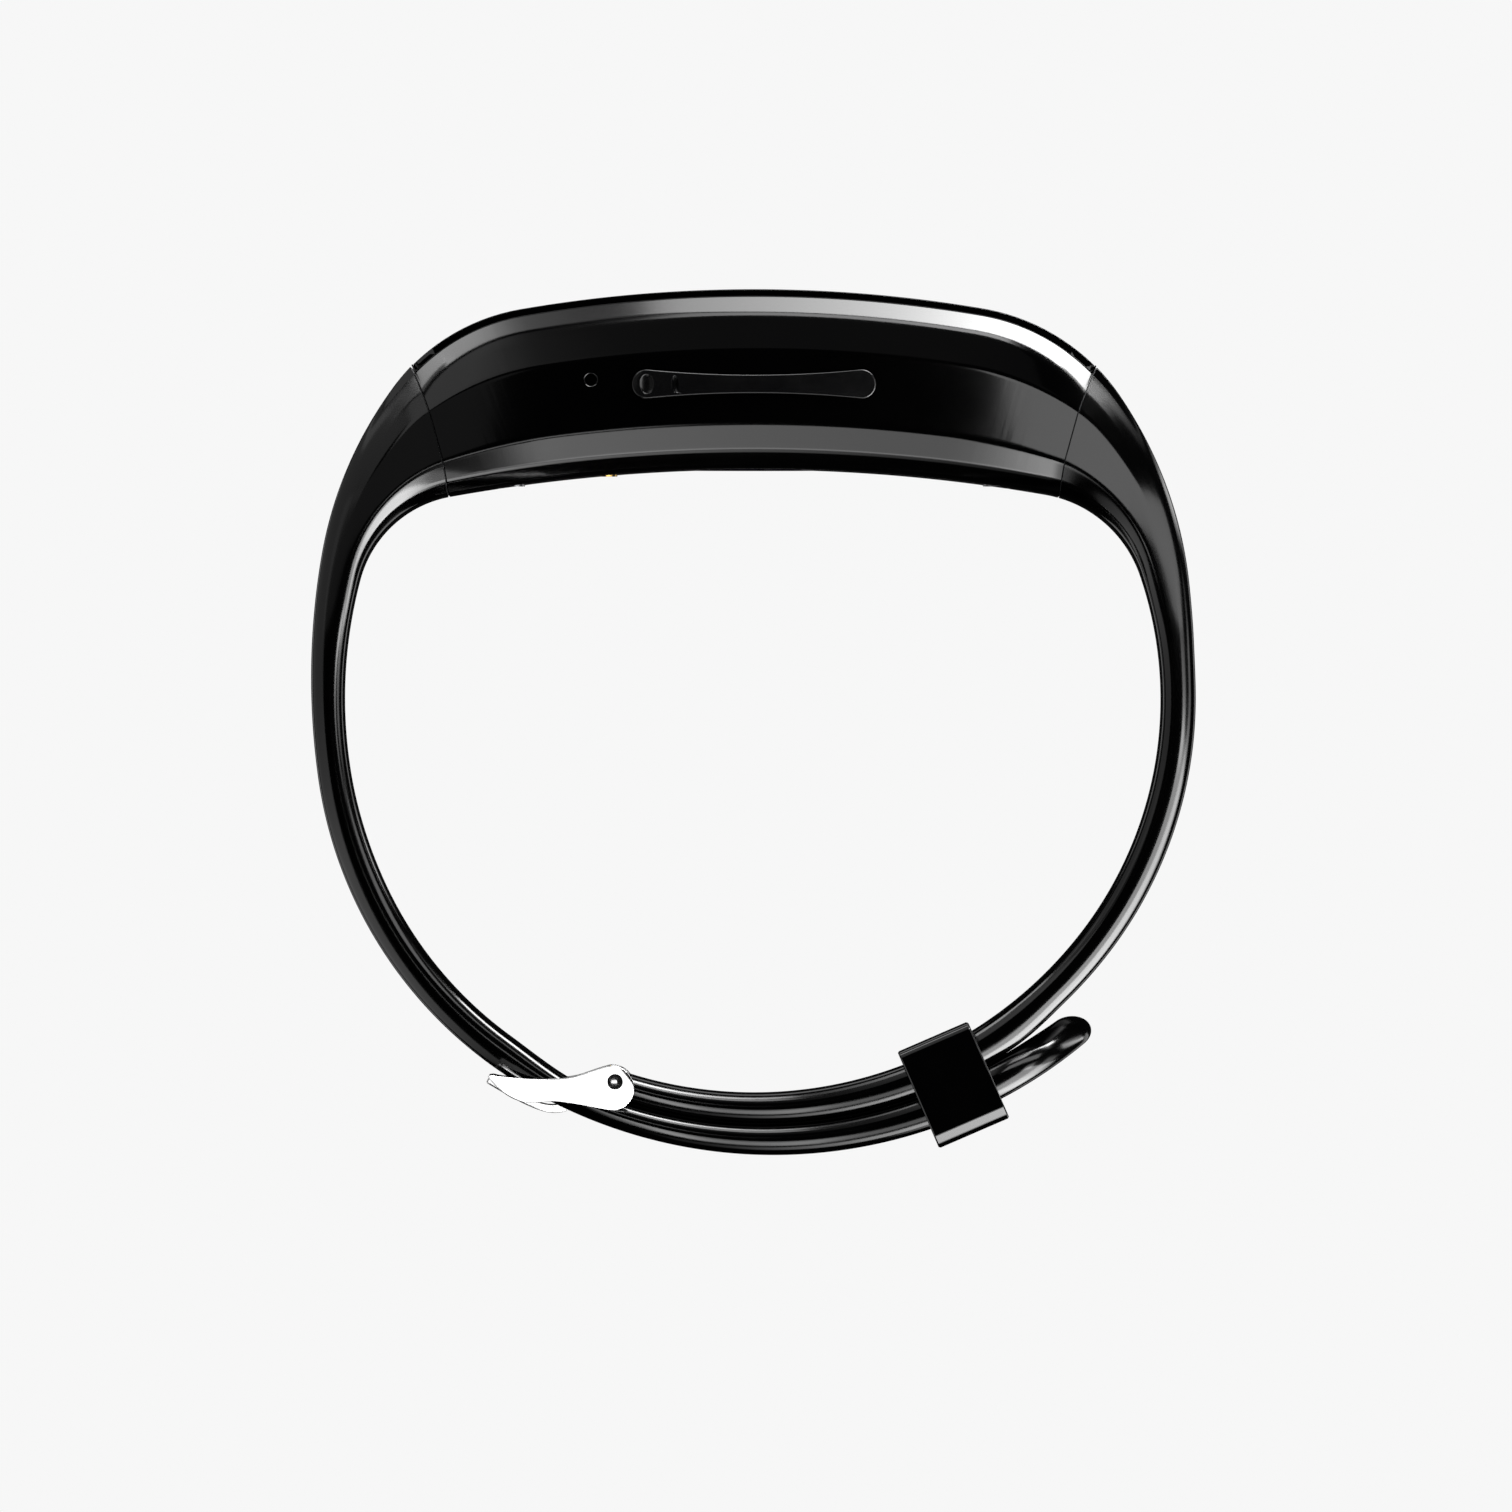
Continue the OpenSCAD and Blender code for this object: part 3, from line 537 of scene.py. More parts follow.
def angle_at(s):
    lo, hi = 0, TABLE_N
    while hi - lo > 1:
        m = (lo + hi) // 2
        lo, hi = (m, hi) if TABLE_S[m] <= s else (lo, m)
    return mix(TABLE_A[lo], TABLE_A[hi], (s - TABLE_S[lo]) / (TABLE_S[hi] - TABLE_S[lo]))


def plan_half(w, s_end, r, s):
    """Half width of a plate with rounded corners at distance s along it."""
    d = min(s_end - abs(s), r)
    return w if d >= r else w - r + math.sqrt(max(0.0, r * r - (r - d) ** 2))


LENS_S, COVER_S, TRAY_S = (arc_at(SEAM_MID * u) for u in (LENS_U, COVER_U, TRAY_U))


def spans(ends, step):
    """Positions along the pod: close together just inside each end in ends."""
    marks = set()
    for e in ends:
        for d in (0.0001, 0.02, 0.08, 0.2, 0.36, 0.58, 0.85, 1.2, 1.6, 2.0, 2.4):
            marks |= {e - d, d - e}
        marks |= {e + 0.0001, -e - 0.0001}
    full = arc_at(SEAM_MID - SEAM_GAP)
    n = int(2 * full / step)
    marks |= {full * (2 * i / n - 1) for i in range(n + 1)}
    return sorted(m for m in marks if abs(m) <= full + 1e-6)


def ring_points(t, half, radii, split=3):
    """Whole ring from half a section t thick, its corners rounded in real millimetres."""
    path = rounded([(y, f * t) for y, f in half], radii)
    out = []
    for i, p in enumerate(path[:-1]):
        out.append(p)
        if i in (0, len(path) - 2):
            q = path[i + 1]
            out += [(mix(p[0], q[0], k / split), mix(p[1], q[1], k / split)) for k in range(1, split)]
    out.append(path[-1])
    return mirrored([(y, d / t) for y, d in out])


def pod_ring(a):
    """Section of the housing at a, with the beds of the glass and of the back cover."""
    s = arc_at(a)
    in_lens, in_cover, in_tray = (abs(s) < e for e in (LENS_S + GAP, COVER_S + GAP, TRAY_S))
    lw, cw = LENS_W + GAP, COVER_W + GAP
    if in_lens:
        lw = plan_half(lw, LENS_S + GAP, LENS_CORNER + GAP, s)
    if in_cover:
        cw = plan_half(cw, COVER_S + GAP, COVER_CORNER, s)
    lf, tf = (LENS_F + BED, TRAY_F if in_tray else LENS_F + BED) if in_lens else (0.0, 0.0)
    cf = COVER_F - BED if in_cover else 1.0
    tw = min(TRAY_W, lw - 0.1) if in_lens else 8.3
    t = pod_thick(a)
    rim = mix(*RIM_DEPTH, min(1.0, max(0.0, (lw - RIM_Y) / RIM_RUN))) / t
    half = [(0, tf), (tw, tf), (tw, lf + (0.0 if in_lens else BED)), (lw, lf if in_lens else rim),
            (lw, rim), (BEVEL_TOP[0], BEVEL_TOP[1] / t), (BEVEL_LOW[0], BEVEL_LOW[1] / t),
            (POD_W, 0.342), (POD_W, 0.739), (9.755, 0.894), (8.705, 0.985), (cw, 1), (cw, cf), (0, cf)]
    left = smooth(-a / 20)
    radii = [0, 0.05, 0.02, 0.02, 0.06, 0.06, 0.42 + 0.25 * left, 0.3, 0.35, 0.3, 0.3, 0.08, 0.02, 0]
    points = [(y, pod_pt(a, f)) for y, f in ring_points(t, half, radii)]
    return [(x, y, z) for y, (x, z) in points]


def pod_block(s_end, f0, f1, w, corner, n, top_drop=0.0, draft=0.0):
    """Curved plate of the pod between two depths, with rounded corners in plan. Its face at f0 is
    narrower by draft, and falls by top_drop towards its edge."""
    marks = sorted({s_end * (2 * i / n - 1) for i in range(n + 1)}
                   | {k * (s_end - d) for d in (0.03, 0.12, 0.3, 0.55, 0.9, 1.3) for k in (-1, 1)})
    rings = []
    for s in marks:
        a, h = angle_at(s), plan_half(w, s_end, corner, s)
        t = h - draft
        half = [(0, f0), (t * 0.4, f0), (t * 0.75, f0 + top_drop * 0.15), (t, f0 + top_drop),
                (h, f1), (h * 0.5, f1), (0, f1)]
        rings.append([(pod_pt(a, f)[0], y, pod_pt(a, f)[1]) for y, f in mirrored(half)])
    return loft(rings)


# ------------------------------------------------------------------ frame of a pod end, along its seam
OUTER, INNER = pod_pt(SEAM_MID, 0), pod_pt(SEAM_MID, 1)
SEAM_C = ((OUTER[0] + INNER[0]) / 2, (OUTER[1] + INNER[1]) / 2)
SEAM_TILT = math.atan2(OUTER[0] - INNER[0], OUTER[1] - INNER[1])


def bar_place(s):
    """x away from the pod's middle, z outwards, from the middle of the seam on side s."""
    c, d = math.cos(SEAM_TILT), math.sin(SEAM_TILT)
    return lambda x, y, z: (s * (SEAM_C[0] + x * c + z * d), y, SEAM_C[1] - x * d + z * c)


# ------------------------------------------------------------------ side button's outline
def stadium(half, r, waist, grow, n=20, m=40):
    """Outline of a long rounded button whose rows draw in at the middle by waist."""
    end = r + grow
    xs = [half * (1 - 2 * k / m) for k in range(m + 1)]
    pts = [(x, end - waist * (1 - (x / half) ** 2)) for x in xs]
    pts += [(-half + end * cos(90 + 180 * k / n), end * sin(90 + 180 * k / n)) for k in range(1, n)]
    pts += [(-x, -end + waist * (1 - (x / half) ** 2)) for x in xs]
    pts += [(half + end * cos(-90 + 180 * k / n), end * sin(-90 + 180 * k / n)) for k in range(1, n)]
    return pts


def button_shape(grow=0.0):
    r = BUTTON_H / 2
    return stadium(BUTTON_LEN / 2 - r, r, (BUTTON_H - BUTTON_WAIST) / 2, grow)


def at_front(u, v, w): return (u, w, v + BUTTON_Z)


# ------------------------------------------------------------------ upper housing
rings = [pod_ring(angle_at(s)) for s in spans([LENS_S + GAP, COVER_S + GAP, TRAY_S], 0.8)]
housing = link("housing_shell", loft(rings), M["housing"], 0)
cuts = [cutter(pod_block(arc_at(SEAM_MID * CAVITY_U), *CAVITY_F, CAVITY_W, CAVITY_CORNER, 16)),
        cutter(prism(button_shape(BUTTON_ROOM), -POD_W + 1.0, -POD_W - 1, at_front)),
        rod_y(0, BUTTON_Z, STEM_R + STEM_ROOM, -7, -11),
        rod_y(MIC_X, MIC_Z, MIC_R, -9.9, -11)]
for s in (-1, 1):
    pl = bar_place(s)
    cuts += [box_in(pl, *POCKET), box_in(pl, *RELEASE_SLOT),
             rod_y(BAR_X, 0, 0.45, -BAR_REACH, BAR_REACH, place=pl)]
cut(housing, cuts, sharp=28)
piece(housing, "band", "housing", "upper_housing")

# ------------------------------------------------------------------ display glass
lens_bm = pod_block(LENS_S, 0.004, LENS_F, LENS_W, LENS_CORNER, 70, top_drop=0.004, draft=0.14)
lens = link("display_glass", lens_bm, M["display_glass"], 0)
bevel(lens, 0.09)
piece(lens, "band", "display_glass", "display_lens")

# ------------------------------------------------------------------ back cover
cover_bm = pod_block(COVER_S, 1.0, COVER_F, COVER_W, COVER_CORNER, 60)
cover = link("back_shell", cover_bm, M["back_plastic"], 0)
bevel(cover, 0.12, 2)
cuts = [rod_z(0, 0, SENSOR_HOLE_R, 20, 26, 64)]
cuts += [rod_z(CONTACT_X, y * CONTACT_Y, CONTACT_R, 20, 26) for y in (-1, 1)]
for sx in (-1, 1):
    cuts += [box_in(bar_place(sx), *RELEASE_SLOT)]
    for sy in (-1, 1):
        x, y = sx * SCREW_X, sy * SCREW_Y
        cuts += [rod_z(x, y, SCREW_HEAD_R, 19, 21.35), rod_z(x, y, SCREW_R, 19, 25)]
cut(cover, cuts, sharp=28)
piece(cover, "band", "back_plastic", "back_cover")

# ------------------------------------------------------------------ sensor window: a disc with a soft rim
sensor_bm = lathe([(0, 21.88), (2.28, 21.88), (2.3, 21.9), (2.42, 21.9), (2.44, 21.88), (4.6, 21.88),
                   (4.72, 21.9), (4.79, 21.97), (4.8, 22.1), (4.8, 23.2), (0, 23.2)], 96, as_is)
sensor = link("sensor_glass", sensor_bm, M["sensor_glass"], 25)
piece(sensor, "band", "sensor_glass", "sensor_window")


# ------------------------------------------------------------------ straps
def width_at(side, b):
    w = mix(STRAP_W, TAIL_W, smooth((b - SEAM_MID) / 85))
    k = (b - TIP_AT + TIP_LEN) / TIP_LEN if side < 0 and b > TIP_AT - TIP_LEN else 0
    return w * math.sqrt(max(1e-4, 1 - k * k))


def strap_ring(side, b, squeeze=1.0):
    """Section of a strap at b: like the housing next to the pod, then the strap's own."""
    k = smooth((b - SEAM_MID) / 24)
    w, t = width_at(side, b), strap_thick(side, b)
    p, s = pod_half(mix(POD_W, w, smooth((b - SEAM_MID) / 40)), t), strap_half(w)
    half = [(mix(u[0], v[0], k), mix(u[1], v[1], k)) for u, v in zip(p, s)]
    radii = [mix(u, v, k) for u, v in zip(POD_R, STRAP_R)]
    out = []
    for y, f in ring_points(t, half, radii):
        x, z = strap_pt(side, b, 0.5 + (f - 0.5) * squeeze)
        out.append((x, y, z))
    return out


def tongue(side):
    """Rounded end of the strap's core, in the pocket of the pod, bored for the quick-release bar."""
    pl = bar_place(side)
    r = TONGUE_R
    o = [(TONGUE_END, r), (BAR_X, r)]
    o += [(BAR_X - r * sin(180 * k / 16), r * cos(180 * k / 16)) for k in range(1, 16)]
    o += [(BAR_X, -r), (TONGUE_END, -r)]
    core = prism(o, -TONGUE_W, TONGUE_W, lambda u, v, w: pl(u, w, v))
    t = link("tongue", core, M["strap_rubber"], 0)
    cut(t, [rod_y(BAR_X, 0, 0.68, -7, 7, place=pl), box_in(pl, (-2.05, -5.1, -4), (-0.95, -2.8, 0))])
    return t


def painted_seam_shade(side):
    """Dark matt sheet a little below the surface in the joint line: painted shade that stands in for the
    shadow in the gap, so that no light shows there.
    """
    rings = []
    for b in (SEAM_MID - 0.9 * SEAM_GAP, SEAM_MID + 1.2 * SEAM_GAP):
        ring = [Vector(p) for p in strap_ring(side, b)]
        mid = sum(ring, Vector()) / len(ring)
        rings.append([tuple(p + (mid - p).normalized() * 0.2) for p in ring])
    return link("painted_seam_shade", loft(rings), M["seal_rubber"], 0)


def hole_cutter(la):
    """Rounded slot that flares at both faces, so that each hole gets a soft lip."""
    r = (long_out(la) + long_in(la)) / 2
    t = (long_out(la) - long_in(la)) / 2
    n = normal_at(OUT_L, la)
    half = (HOLE_LEN - HOLE_W) / 2
    rows = [(-2.4, 0.34), (-t - 0.02, 0.3), (-t + 0.06, 0.16), (-t + 0.16, 0.06), (-t + 0.3, 0.0),
            (t - 0.3, 0.0), (t - 0.16, 0.06), (t - 0.06, 0.16), (t + 0.02, 0.3), (2.4, 0.34)]
    c, d = cos(n), sin(n)
    rings = []
    for h, g in rows:
        o = [(s * half + (HOLE_W / 2 + g) * cos(a), (HOLE_W / 2 + g) * sin(a))
             for s, r0 in ((1, -90), (-1, 90)) for a in [r0 + 180 * k / 14 for k in range(15)]]
        rings.append([(-r * sin(la) + u * c - h * d, v, r * cos(la) + u * d + h * c) for u, v in o])
    return cutter(loft(rings))


def stations(first, last, step, tip=0.0):
    """Places of a strap's sections, closer and closer together over the last tip degrees."""
    n = int((last - tip - first) / step)
    out = [first + (last - tip - first) * i / n for i in range(n + 1)]
    if tip:
        m = 34
        out += [last - tip + tip * sin(90 * i / m) for i in range(1, m + 1)]
    return out


long_rings = []
for b in stations(SEAM_MID + SEAM_GAP, TIP_AT, 0.7, TIP_LEN + 1):
    left = (TIP_AT - b) / TIP_ROUND
    squeeze = math.sqrt(max(0.0025, 1 - (1 - left) ** 2)) if left < 1 else 1.0
    long_rings.append(strap_ring(-1, b, squeeze))
long_strap = link("long_strap", loft(long_rings), M["strap_rubber"], 0)
cut(long_strap, [hole_cutter(HOLE_AT + k * HOLE_STEP) for k in HOLES], sharp=40)
# the long strap carries a dark sheet of painted shade in its joint line
long_strap = join([long_strap, tongue(-1), painted_seam_shade(-1)], "long_strap_skin")
piece(long_strap, "band", "strap_rubber", "hole_strap")

PIN_X, PIN_Z = PIN_OUT * sin(PIN_AT), PIN_OUT * cos(PIN_AT)


def at_pin(u, v, w):
    """From the buckle pin: u along the long strap, v outwards, w across the band."""
    c, d = cos(180 - BUCKLE_TILT), sin(180 - BUCKLE_TILT)
    return (PIN_X + u * c - v * d, w, PIN_Z + u * d + v * c)


short_end = PIN_AT - 0.4  # from here the short strap rounds off past the pin
short_rings = [strap_ring(1, b) for b in stations(SEAM_MID + SEAM_GAP, short_end, 0.7)]
for k in range(1, 7):
    short_rings.append(strap_ring(1, short_end + 2.7 * sin(15 * k), max(0.12, cos(14.2 * k))))
short_strap = link("short_strap", loft(short_rings), M["strap_rubber"], 0)
slot = [(-1.25, -2.6), (4, -2.6), (4, 2.6), (-1.25, 2.6)]  # room for the tang at the pin
cut(short_strap, [cutter(prism(circle(0, 0, 0.62, 32), -12, 12, at_pin)),
                  cutter(prism(slot, -0.95, 0.95, at_pin))], sharp=40)
# the short strap carries a dark sheet of painted shade in its joint line
short_strap = join([short_strap, tongue(1), painted_seam_shade(1)], "short_strap_skin")
piece(short_strap, "band", "strap_rubber", "buckle_strap")


# ------------------------------------------------------------------ buckle
def spline(points, n, closed=True):
    """Catmull-Rom curve through points."""
    out, m = [], len(points)
    for i in range(m if closed else m - 1):
        at = [(i + k) % m if closed else min(m - 1, max(0, i + k)) for k in (-1, 0, 1, 2)]
        p = [Vector(points[j]) for j in at]
        for j in range(n):
            t = j / n
            out.append(tuple(0.5 * (2 * p[1] + (p[2] - p[0]) * t
                                    + (2 * p[0] - 5 * p[1] + 4 * p[2] - p[3]) * t * t
                                    + (3 * p[1] - p[0] - 3 * p[2] + p[3]) * t ** 3)))
    if not closed:
        out.append(tuple(points[-1]))
    return out


# outlines of an arm and of the crossbar, seen along the pin
ARM = ([(1.57 * cos(a), 0.5 + 1.57 * sin(a)) for a in range(118, 322, 17)]
       + [(1.63, -0.08), (2.61, 0.92), (3.83, 1.76), (5.4, 2.6), (7.12, 3.32), (7.9, 3.6), (8.06, 3.78),
          (7.7, 3.99), (6.79, 4.27), (5.86, 4.36), (5.0, 4.22), (4.22, 3.86), (3.29, 3.27),
          (1.89, 2.72), (0.55, 2.3)])
BAR = [(4.75, 3.5), (6.0, 3.46), (7.3, 3.45), (7.86, 3.56), (7.98, 3.76), (7.64, 3.95), (6.79, 4.22),
       (5.86, 4.3), (5.05, 4.18), (4.68, 3.86)]


def extruded(name, outline, w0, w1, edge, segments=3):
    steel = M["buckle_steel"]
    return bevel(link(name, prism(outline, w0, w1, at_pin), steel, 0), edge, segments)


arms = []
for s in (-1, 1):
    lo, hi = sorted((s * ARM_IN, s * (ARM_IN + ARM_T)))
    arm = extruded("arm", spline(ARM, 4), lo, hi, 0.3, 5)
    cut(arm, [cutter(prism(circle(0, 0, PIN_R, 32), lo - 1, hi + 1, at_pin))], sharp=38)
    arms.append(arm)
bar_half = ARM_IN + BAR_OVERLAP
bar = extruded("bar", spline(BAR, 5), -bar_half, bar_half, 0.05, 2)
notch = [(3.9, 3.83), (9, 3.83), (9, 6), (3.9, 6)]  # rest for the tang
cut(bar, [bevel(cutter(prism(notch, -1.05, 1.05, at_pin)), 0.12)], sharp=38)
buckle = join(arms + [bar], "buckle_loop")
piece(buckle, "buckle", "buckle_steel", "buckle_frame")
pin_end = ARM_IN + ARM_T - 0.01
pin_rim = [(PIN_R - 0.04, 0), (PIN_R - 0.01, 0.01), (PIN_R, 0.05)]
pin_bm = lathe([(0, -pin_end)] + [(r, -pin_end + d) for r, d in pin_rim]
               + [(r, pin_end - d) for r, d in reversed(pin_rim)] + [(0, pin_end)], 40, at_pin)
pin = finish_normals(link("buckle_axle", pin_bm, M["buckle_steel"], 30), 30)
piece(pin, "buckle", "pin_steel", "buckle_pin")


def ribbon(path, half):
    """Outline of a strip along path, with its own half thickness at each point."""
    t = []
    for i in range(len(path)):
        d = Vector(path[min(len(path) - 1, i + 1)]) - Vector(path[max(0, i - 1)])
        t.append(Vector((-d.y, d.x)).normalized())
    up = [tuple(Vector(p) + k * h) for p, k, h in zip(path, t, half)]
    dn = [tuple(Vector(p) - k * h) for p, k, h in zip(path, t, half)]
    return up + dn[::-1]


TANG = [(0.5, 0.35, 0.3), (0.9, 0.8, 0.36), (1.4, 1.6, 0.38), (1.8, 2.45, 0.36), (2.3, 3.2, 0.34),
        (3.1, 3.78, 0.31), (4.3, 4.07, 0.27), (6, 4.14, 0.25), (8.0, 4.1, 0.2)]  # u, v, half thickness
fine = spline(TANG, 4, closed=False)
strip = ribbon([p[:2] for p in fine], [p[2] for p in fine])
tang_bar = extruded("tang_bar", strip, -TANG_W, TANG_W, 0.12)
eye = extruded("tang_eye", circle(0, 0, 0.94), -TANG_W, TANG_W, 0.12)
cut(eye, [cutter(prism(circle(0, 0, 0.58, 32), -2, 2, at_pin))], sharp=38)
piece(join([tang_bar, eye], "tang_prong"), "tang", "buckle_steel", "buckle_tang")


# ------------------------------------------------------------------ keeper
def round_rect(w, h, r, n=11):
    pts = []
    for sx, sy, a0 in ((1, 1, 0), (-1, 1, 90), (-1, -1, 180), (1, -1, 270)):
        x, y = sx * (w / 2 - r), sy * (h / 2 - r)
        pts += [(x + r * cos(a0 + 90 * k / n), y + r * sin(a0 + 90 * k / n)) for k in range(n + 1)]
    return pts


def cut_rect(w, h):
    """Rectangle whose corners are slanted facets with softened edges, smaller on the wrist side;
    it has as many points as round_rect, in the same order."""
    pts = []
    for sx, sy in ((1, 1), (-1, 1), (-1, -1), (1, -1)):
        k = 1 if sy > 0 else 0.45
        c = [(sx * w / 2, sy * (h / 2 - 0.92 * k)), (sx * (w / 2 - 0.4 * k), sy * (h / 2 - 0.3 * k)),
             (sx * (w / 2 - 0.95 * k), sy * h / 2)]
        pts += c if sx * sy > 0 else c[::-1]
    return rounded([pts[-1]] + pts + [pts[0]], [0.1] * 14, 3)[1:-1]


KEEP_MID = (long_out(360 - KEEPER_AT) + short_in(KEEPER_AT)) / 2 + KEEPER_OUT


def at_keeper(u, v, w):
    """u across the band, v outwards, w along the strap towards the tip."""
    c, d = cos(KEEPER_TURN), sin(KEEPER_TURN)
    return (KEEP_MID * sin(KEEPER_AT) + v * d - w * c, u, KEEP_MID * cos(KEEPER_AT) + v * c + w * d)


def keeper_row(bm, outline, w, lift=0.0):
    return [bm.verts.new(Vector(at_keeper(u, v + lift, w)) * MM) for u, v in outline]


# rows round the loop: place along the strap, and growth (below 0 where the rims are rounded)
rows = [(-KEEPER_LEN / 2 + d, -g) for d, g in ((0, 0.1), (0.04, 0.055), (0.13, 0.02), (0.1, 0))]
rows += [(-w, g) for w, g in reversed(rows)]
bm = bmesh.new()
outer = [keeper_row(bm, cut_rect(KEEPER_W + 2 * g, KEEPER_H + 2 * g), w) for w, g in rows]
inner = [keeper_row(bm, round_rect(KEEP_IN_W - 2 * g, KEEP_IN_H - 2 * g, 0.5), w, KEEP_IN_SHIFT)
         for w, g in rows]
n = len(outer[0])
strips = list(zip(outer, outer[1:])) + list(zip(inner, inner[1:]))
strips += [(outer[end], inner[end]) for end in (0, -1)]
for a, b in strips:
    for j in range(n):
        k = (j + 1) % n
        bm.faces.new((a[j], a[k], b[k], b[j]))
keeper = finish_normals(link("keeper_loop", bm, M["keeper_rubber"], 40), 45)
piece(keeper, "keeper", "keeper_rubber", "keeper")


# ------------------------------------------------------------------ side button, microphone ring
def dimple(x, rx, rz):
    """Shallow flat-bottomed oval hollow in the face of the button."""
    face = -POD_W - BUTTON_PROUD
    rings = []
    for d, g in [(-0.3, 1.03), (0, 1.0), (0.14, 0.97), (0.16, 0.92), (0.16, 0.1)]:
        rings.append([(x + rx * g * cos(a), face + d, BUTTON_Z + rz * g * sin(a))
                      for a in range(0, 360, 15)])
    return cutter(loft(rings))


cap_bm = prism(button_shape(), -POD_W + 0.62, -POD_W - BUTTON_PROUD, at_front)
cap = link("button_cap", cap_bm, M["button_metal"], 0)
bevel(cap, 0.1)
for hollow in DIMPLES:
    cut(cap, [dimple(*hollow)])
stem = rod_y(0, BUTTON_Z, STEM_R, -POD_W + 0.7, -8.3, name="stem")
stem.data.materials.append(M["button_metal"])
piece(join([cap, stem], "button_press_cap"), "side_button", "button_metal", "side_button")


def at_mic(x, y, z): return (MIC_X + x, z - POD_W - MIC_PROUD, MIC_Z + y)


ring_bm = lathe([(0.42, 0.65), (0.42, 0.14), (0.44, 0.08), (0.48, 0.05), (0.51, 0.08), (0.52, 0.14),
                 (0.52, 0.65), (0.42, 0.65)], 48, at_mic)
bmesh.ops.remove_doubles(ring_bm, verts=ring_bm.verts, dist=1e-7)
piece(link("mic_rim", ring_bm, M["button_metal"], 40), "band", "pin_steel", "mic_port_ring")

# ------------------------------------------------------------------ springs in the pod ends
STEPS = 20  # sections in a turn of the wire
for s, name in ((-1, "left"), (1, "right")):
    pl = bar_place(s)
    rings = []
    for i in range(COIL_TURNS * STEPS + 1):
        g = 360 / STEPS * i
        y = COIL_Y + COIL_LEN * i / (COIL_TURNS * STEPS)
        wire = [(COIL_R + WIRE_R * cos(h), WIRE_R * sin(h)) for h in range(0, 360, 45)]
        rings.append([pl(BAR_X + r * cos(g), y + e, r * sin(g)) for r, e in wire])
    sp = link(name + "_coil", loft(rings), M["pin_steel"], 0)
    piece(sp, "band", "pin_steel", name + "_bar_spring")
    c = pl(BAR_X, COIL_END, 0)
    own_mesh(sp)

# ------------------------------------------------------------------ stage, light, camera
FLOOR_Z, FLOOR_R = -0.25, 2.6  # metres
PALE, AMBIENT = 0.93, 0.004  # background seen by the camera, and the light it gives
bm = bmesh.new()
bmesh.ops.create_circle(bm, cap_ends=True, segments=96, radius=FLOOR_R)
floor_mat = bpy.data.materials.new("floor")
floor_mat.use_nodes = True
nt = floor_mat.node_tree
nt.nodes.clear()
out = nt.nodes.new("ShaderNodeOutputMaterial")
em = nt.nodes.new("ShaderNodeEmission")
em.inputs["Color"].default_value = (PALE, PALE, PALE, 1)
nt.links.new(em.outputs[0], out.inputs[0])
floor = link("floor", bm, floor_mat, 0, False)
floor.location.z = FLOOR_Z
floor.visible_glossy = False
floor.visible_diffuse = False

world = bpy.data.worlds.new("studio")
bpy.context.scene.world = world
world.use_nodes = True
nt = world.node_tree
nt.nodes.clear()
out = nt.nodes.new("ShaderNodeOutputWorld")
bg = nt.nodes.new("ShaderNodeBackground")
lp = nt.nodes.new("ShaderNodeLightPath")
mx = nt.nodes.new("ShaderNodeMix")
mx.data_type = "FLOAT"
nt.links.new(lp.outputs["Is Camera Ray"], mx.inputs["Factor"])
mx.inputs["A"].default_value = AMBIENT
mx.inputs["B"].default_value = PALE
bg.inputs["Color"].default_value = (1, 1, 1, 1)
nt.links.new(mx.outputs["Result"], bg.inputs["Strength"])
nt.links.new(bg.outputs[0], out.inputs[0])


def area(name, centre, x, y, z, width, height, radiance, stops=()):
    """Area light that shines along -z; sizes in metres. stops grade it along x: (0 to 1, share)."""
    li = bpy.data.lights.new(name, "AREA")
    li.shape, li.size, li.size_y = "RECTANGLE", width, height
    li.energy = radiance * math.pi * width * height
    if stops:
        li.use_nodes = True
        tree = li.node_tree
        place = tree.nodes.new("ShaderNodeNewGeometry")
        part = tree.nodes.new("ShaderNodeSeparateXYZ")
        ramp = tree.nodes.new("ShaderNodeValToRGB")
        tree.links.new(place.outputs["Parametric"], part.inputs[0])
        tree.links.new(part.outputs["X"], ramp.inputs["Fac"])
        tree.links.new(ramp.outputs["Color"], tree.nodes["Emission"].inputs["Strength"])
        keys = ramp.color_ramp.elements
        while len(keys) > 1:
            keys.remove(keys[-1])
        for i, (at, share) in enumerate(stops):
            key = keys[0] if i == 0 else keys.new(at)
            key.position, key.color = at, (share, share, share, 1)
    ob = bpy.data.objects.new(name, li)
    bpy.context.scene.collection.objects.link(ob)
    ob.matrix_world = Matrix([(x[i], y[i], z[i], centre[i]) for i in range(3)] + [(0, 0, 0, 1)])
    ob.visible_camera = False
    return ob


def window(name, tilt, rise, grade, dist=0.5, eye=(0, 0, 0.027)):
    """Soft box seen from eye, in metres. grade lists (angle, radiance) along it: angle is measured
    right of straight up, tilt from the camera's side (0) through overhead (90) to behind (180)."""
    first, last = grade[0][0], grade[-1][0]
    angle, half = (first + last) / 2, math.tan(math.radians((last - first) / 2))
    z = Vector((sin(tilt) * sin(angle), -cos(tilt), sin(tilt) * cos(angle)))
    x = Vector((cos(angle), 0, -sin(angle)))
    peak = max(r for g, r in grade)
    stops = [(0.5 + 0.5 * math.tan(math.radians(g - angle)) / half, r / peak) for g, r in grade]
    return area(name, Vector(eye) + dist * z, x, z.cross(x), z, 2 * dist * half * sin(tilt),
                2 * dist * math.tan(math.radians(rise / 2)), peak, stops)


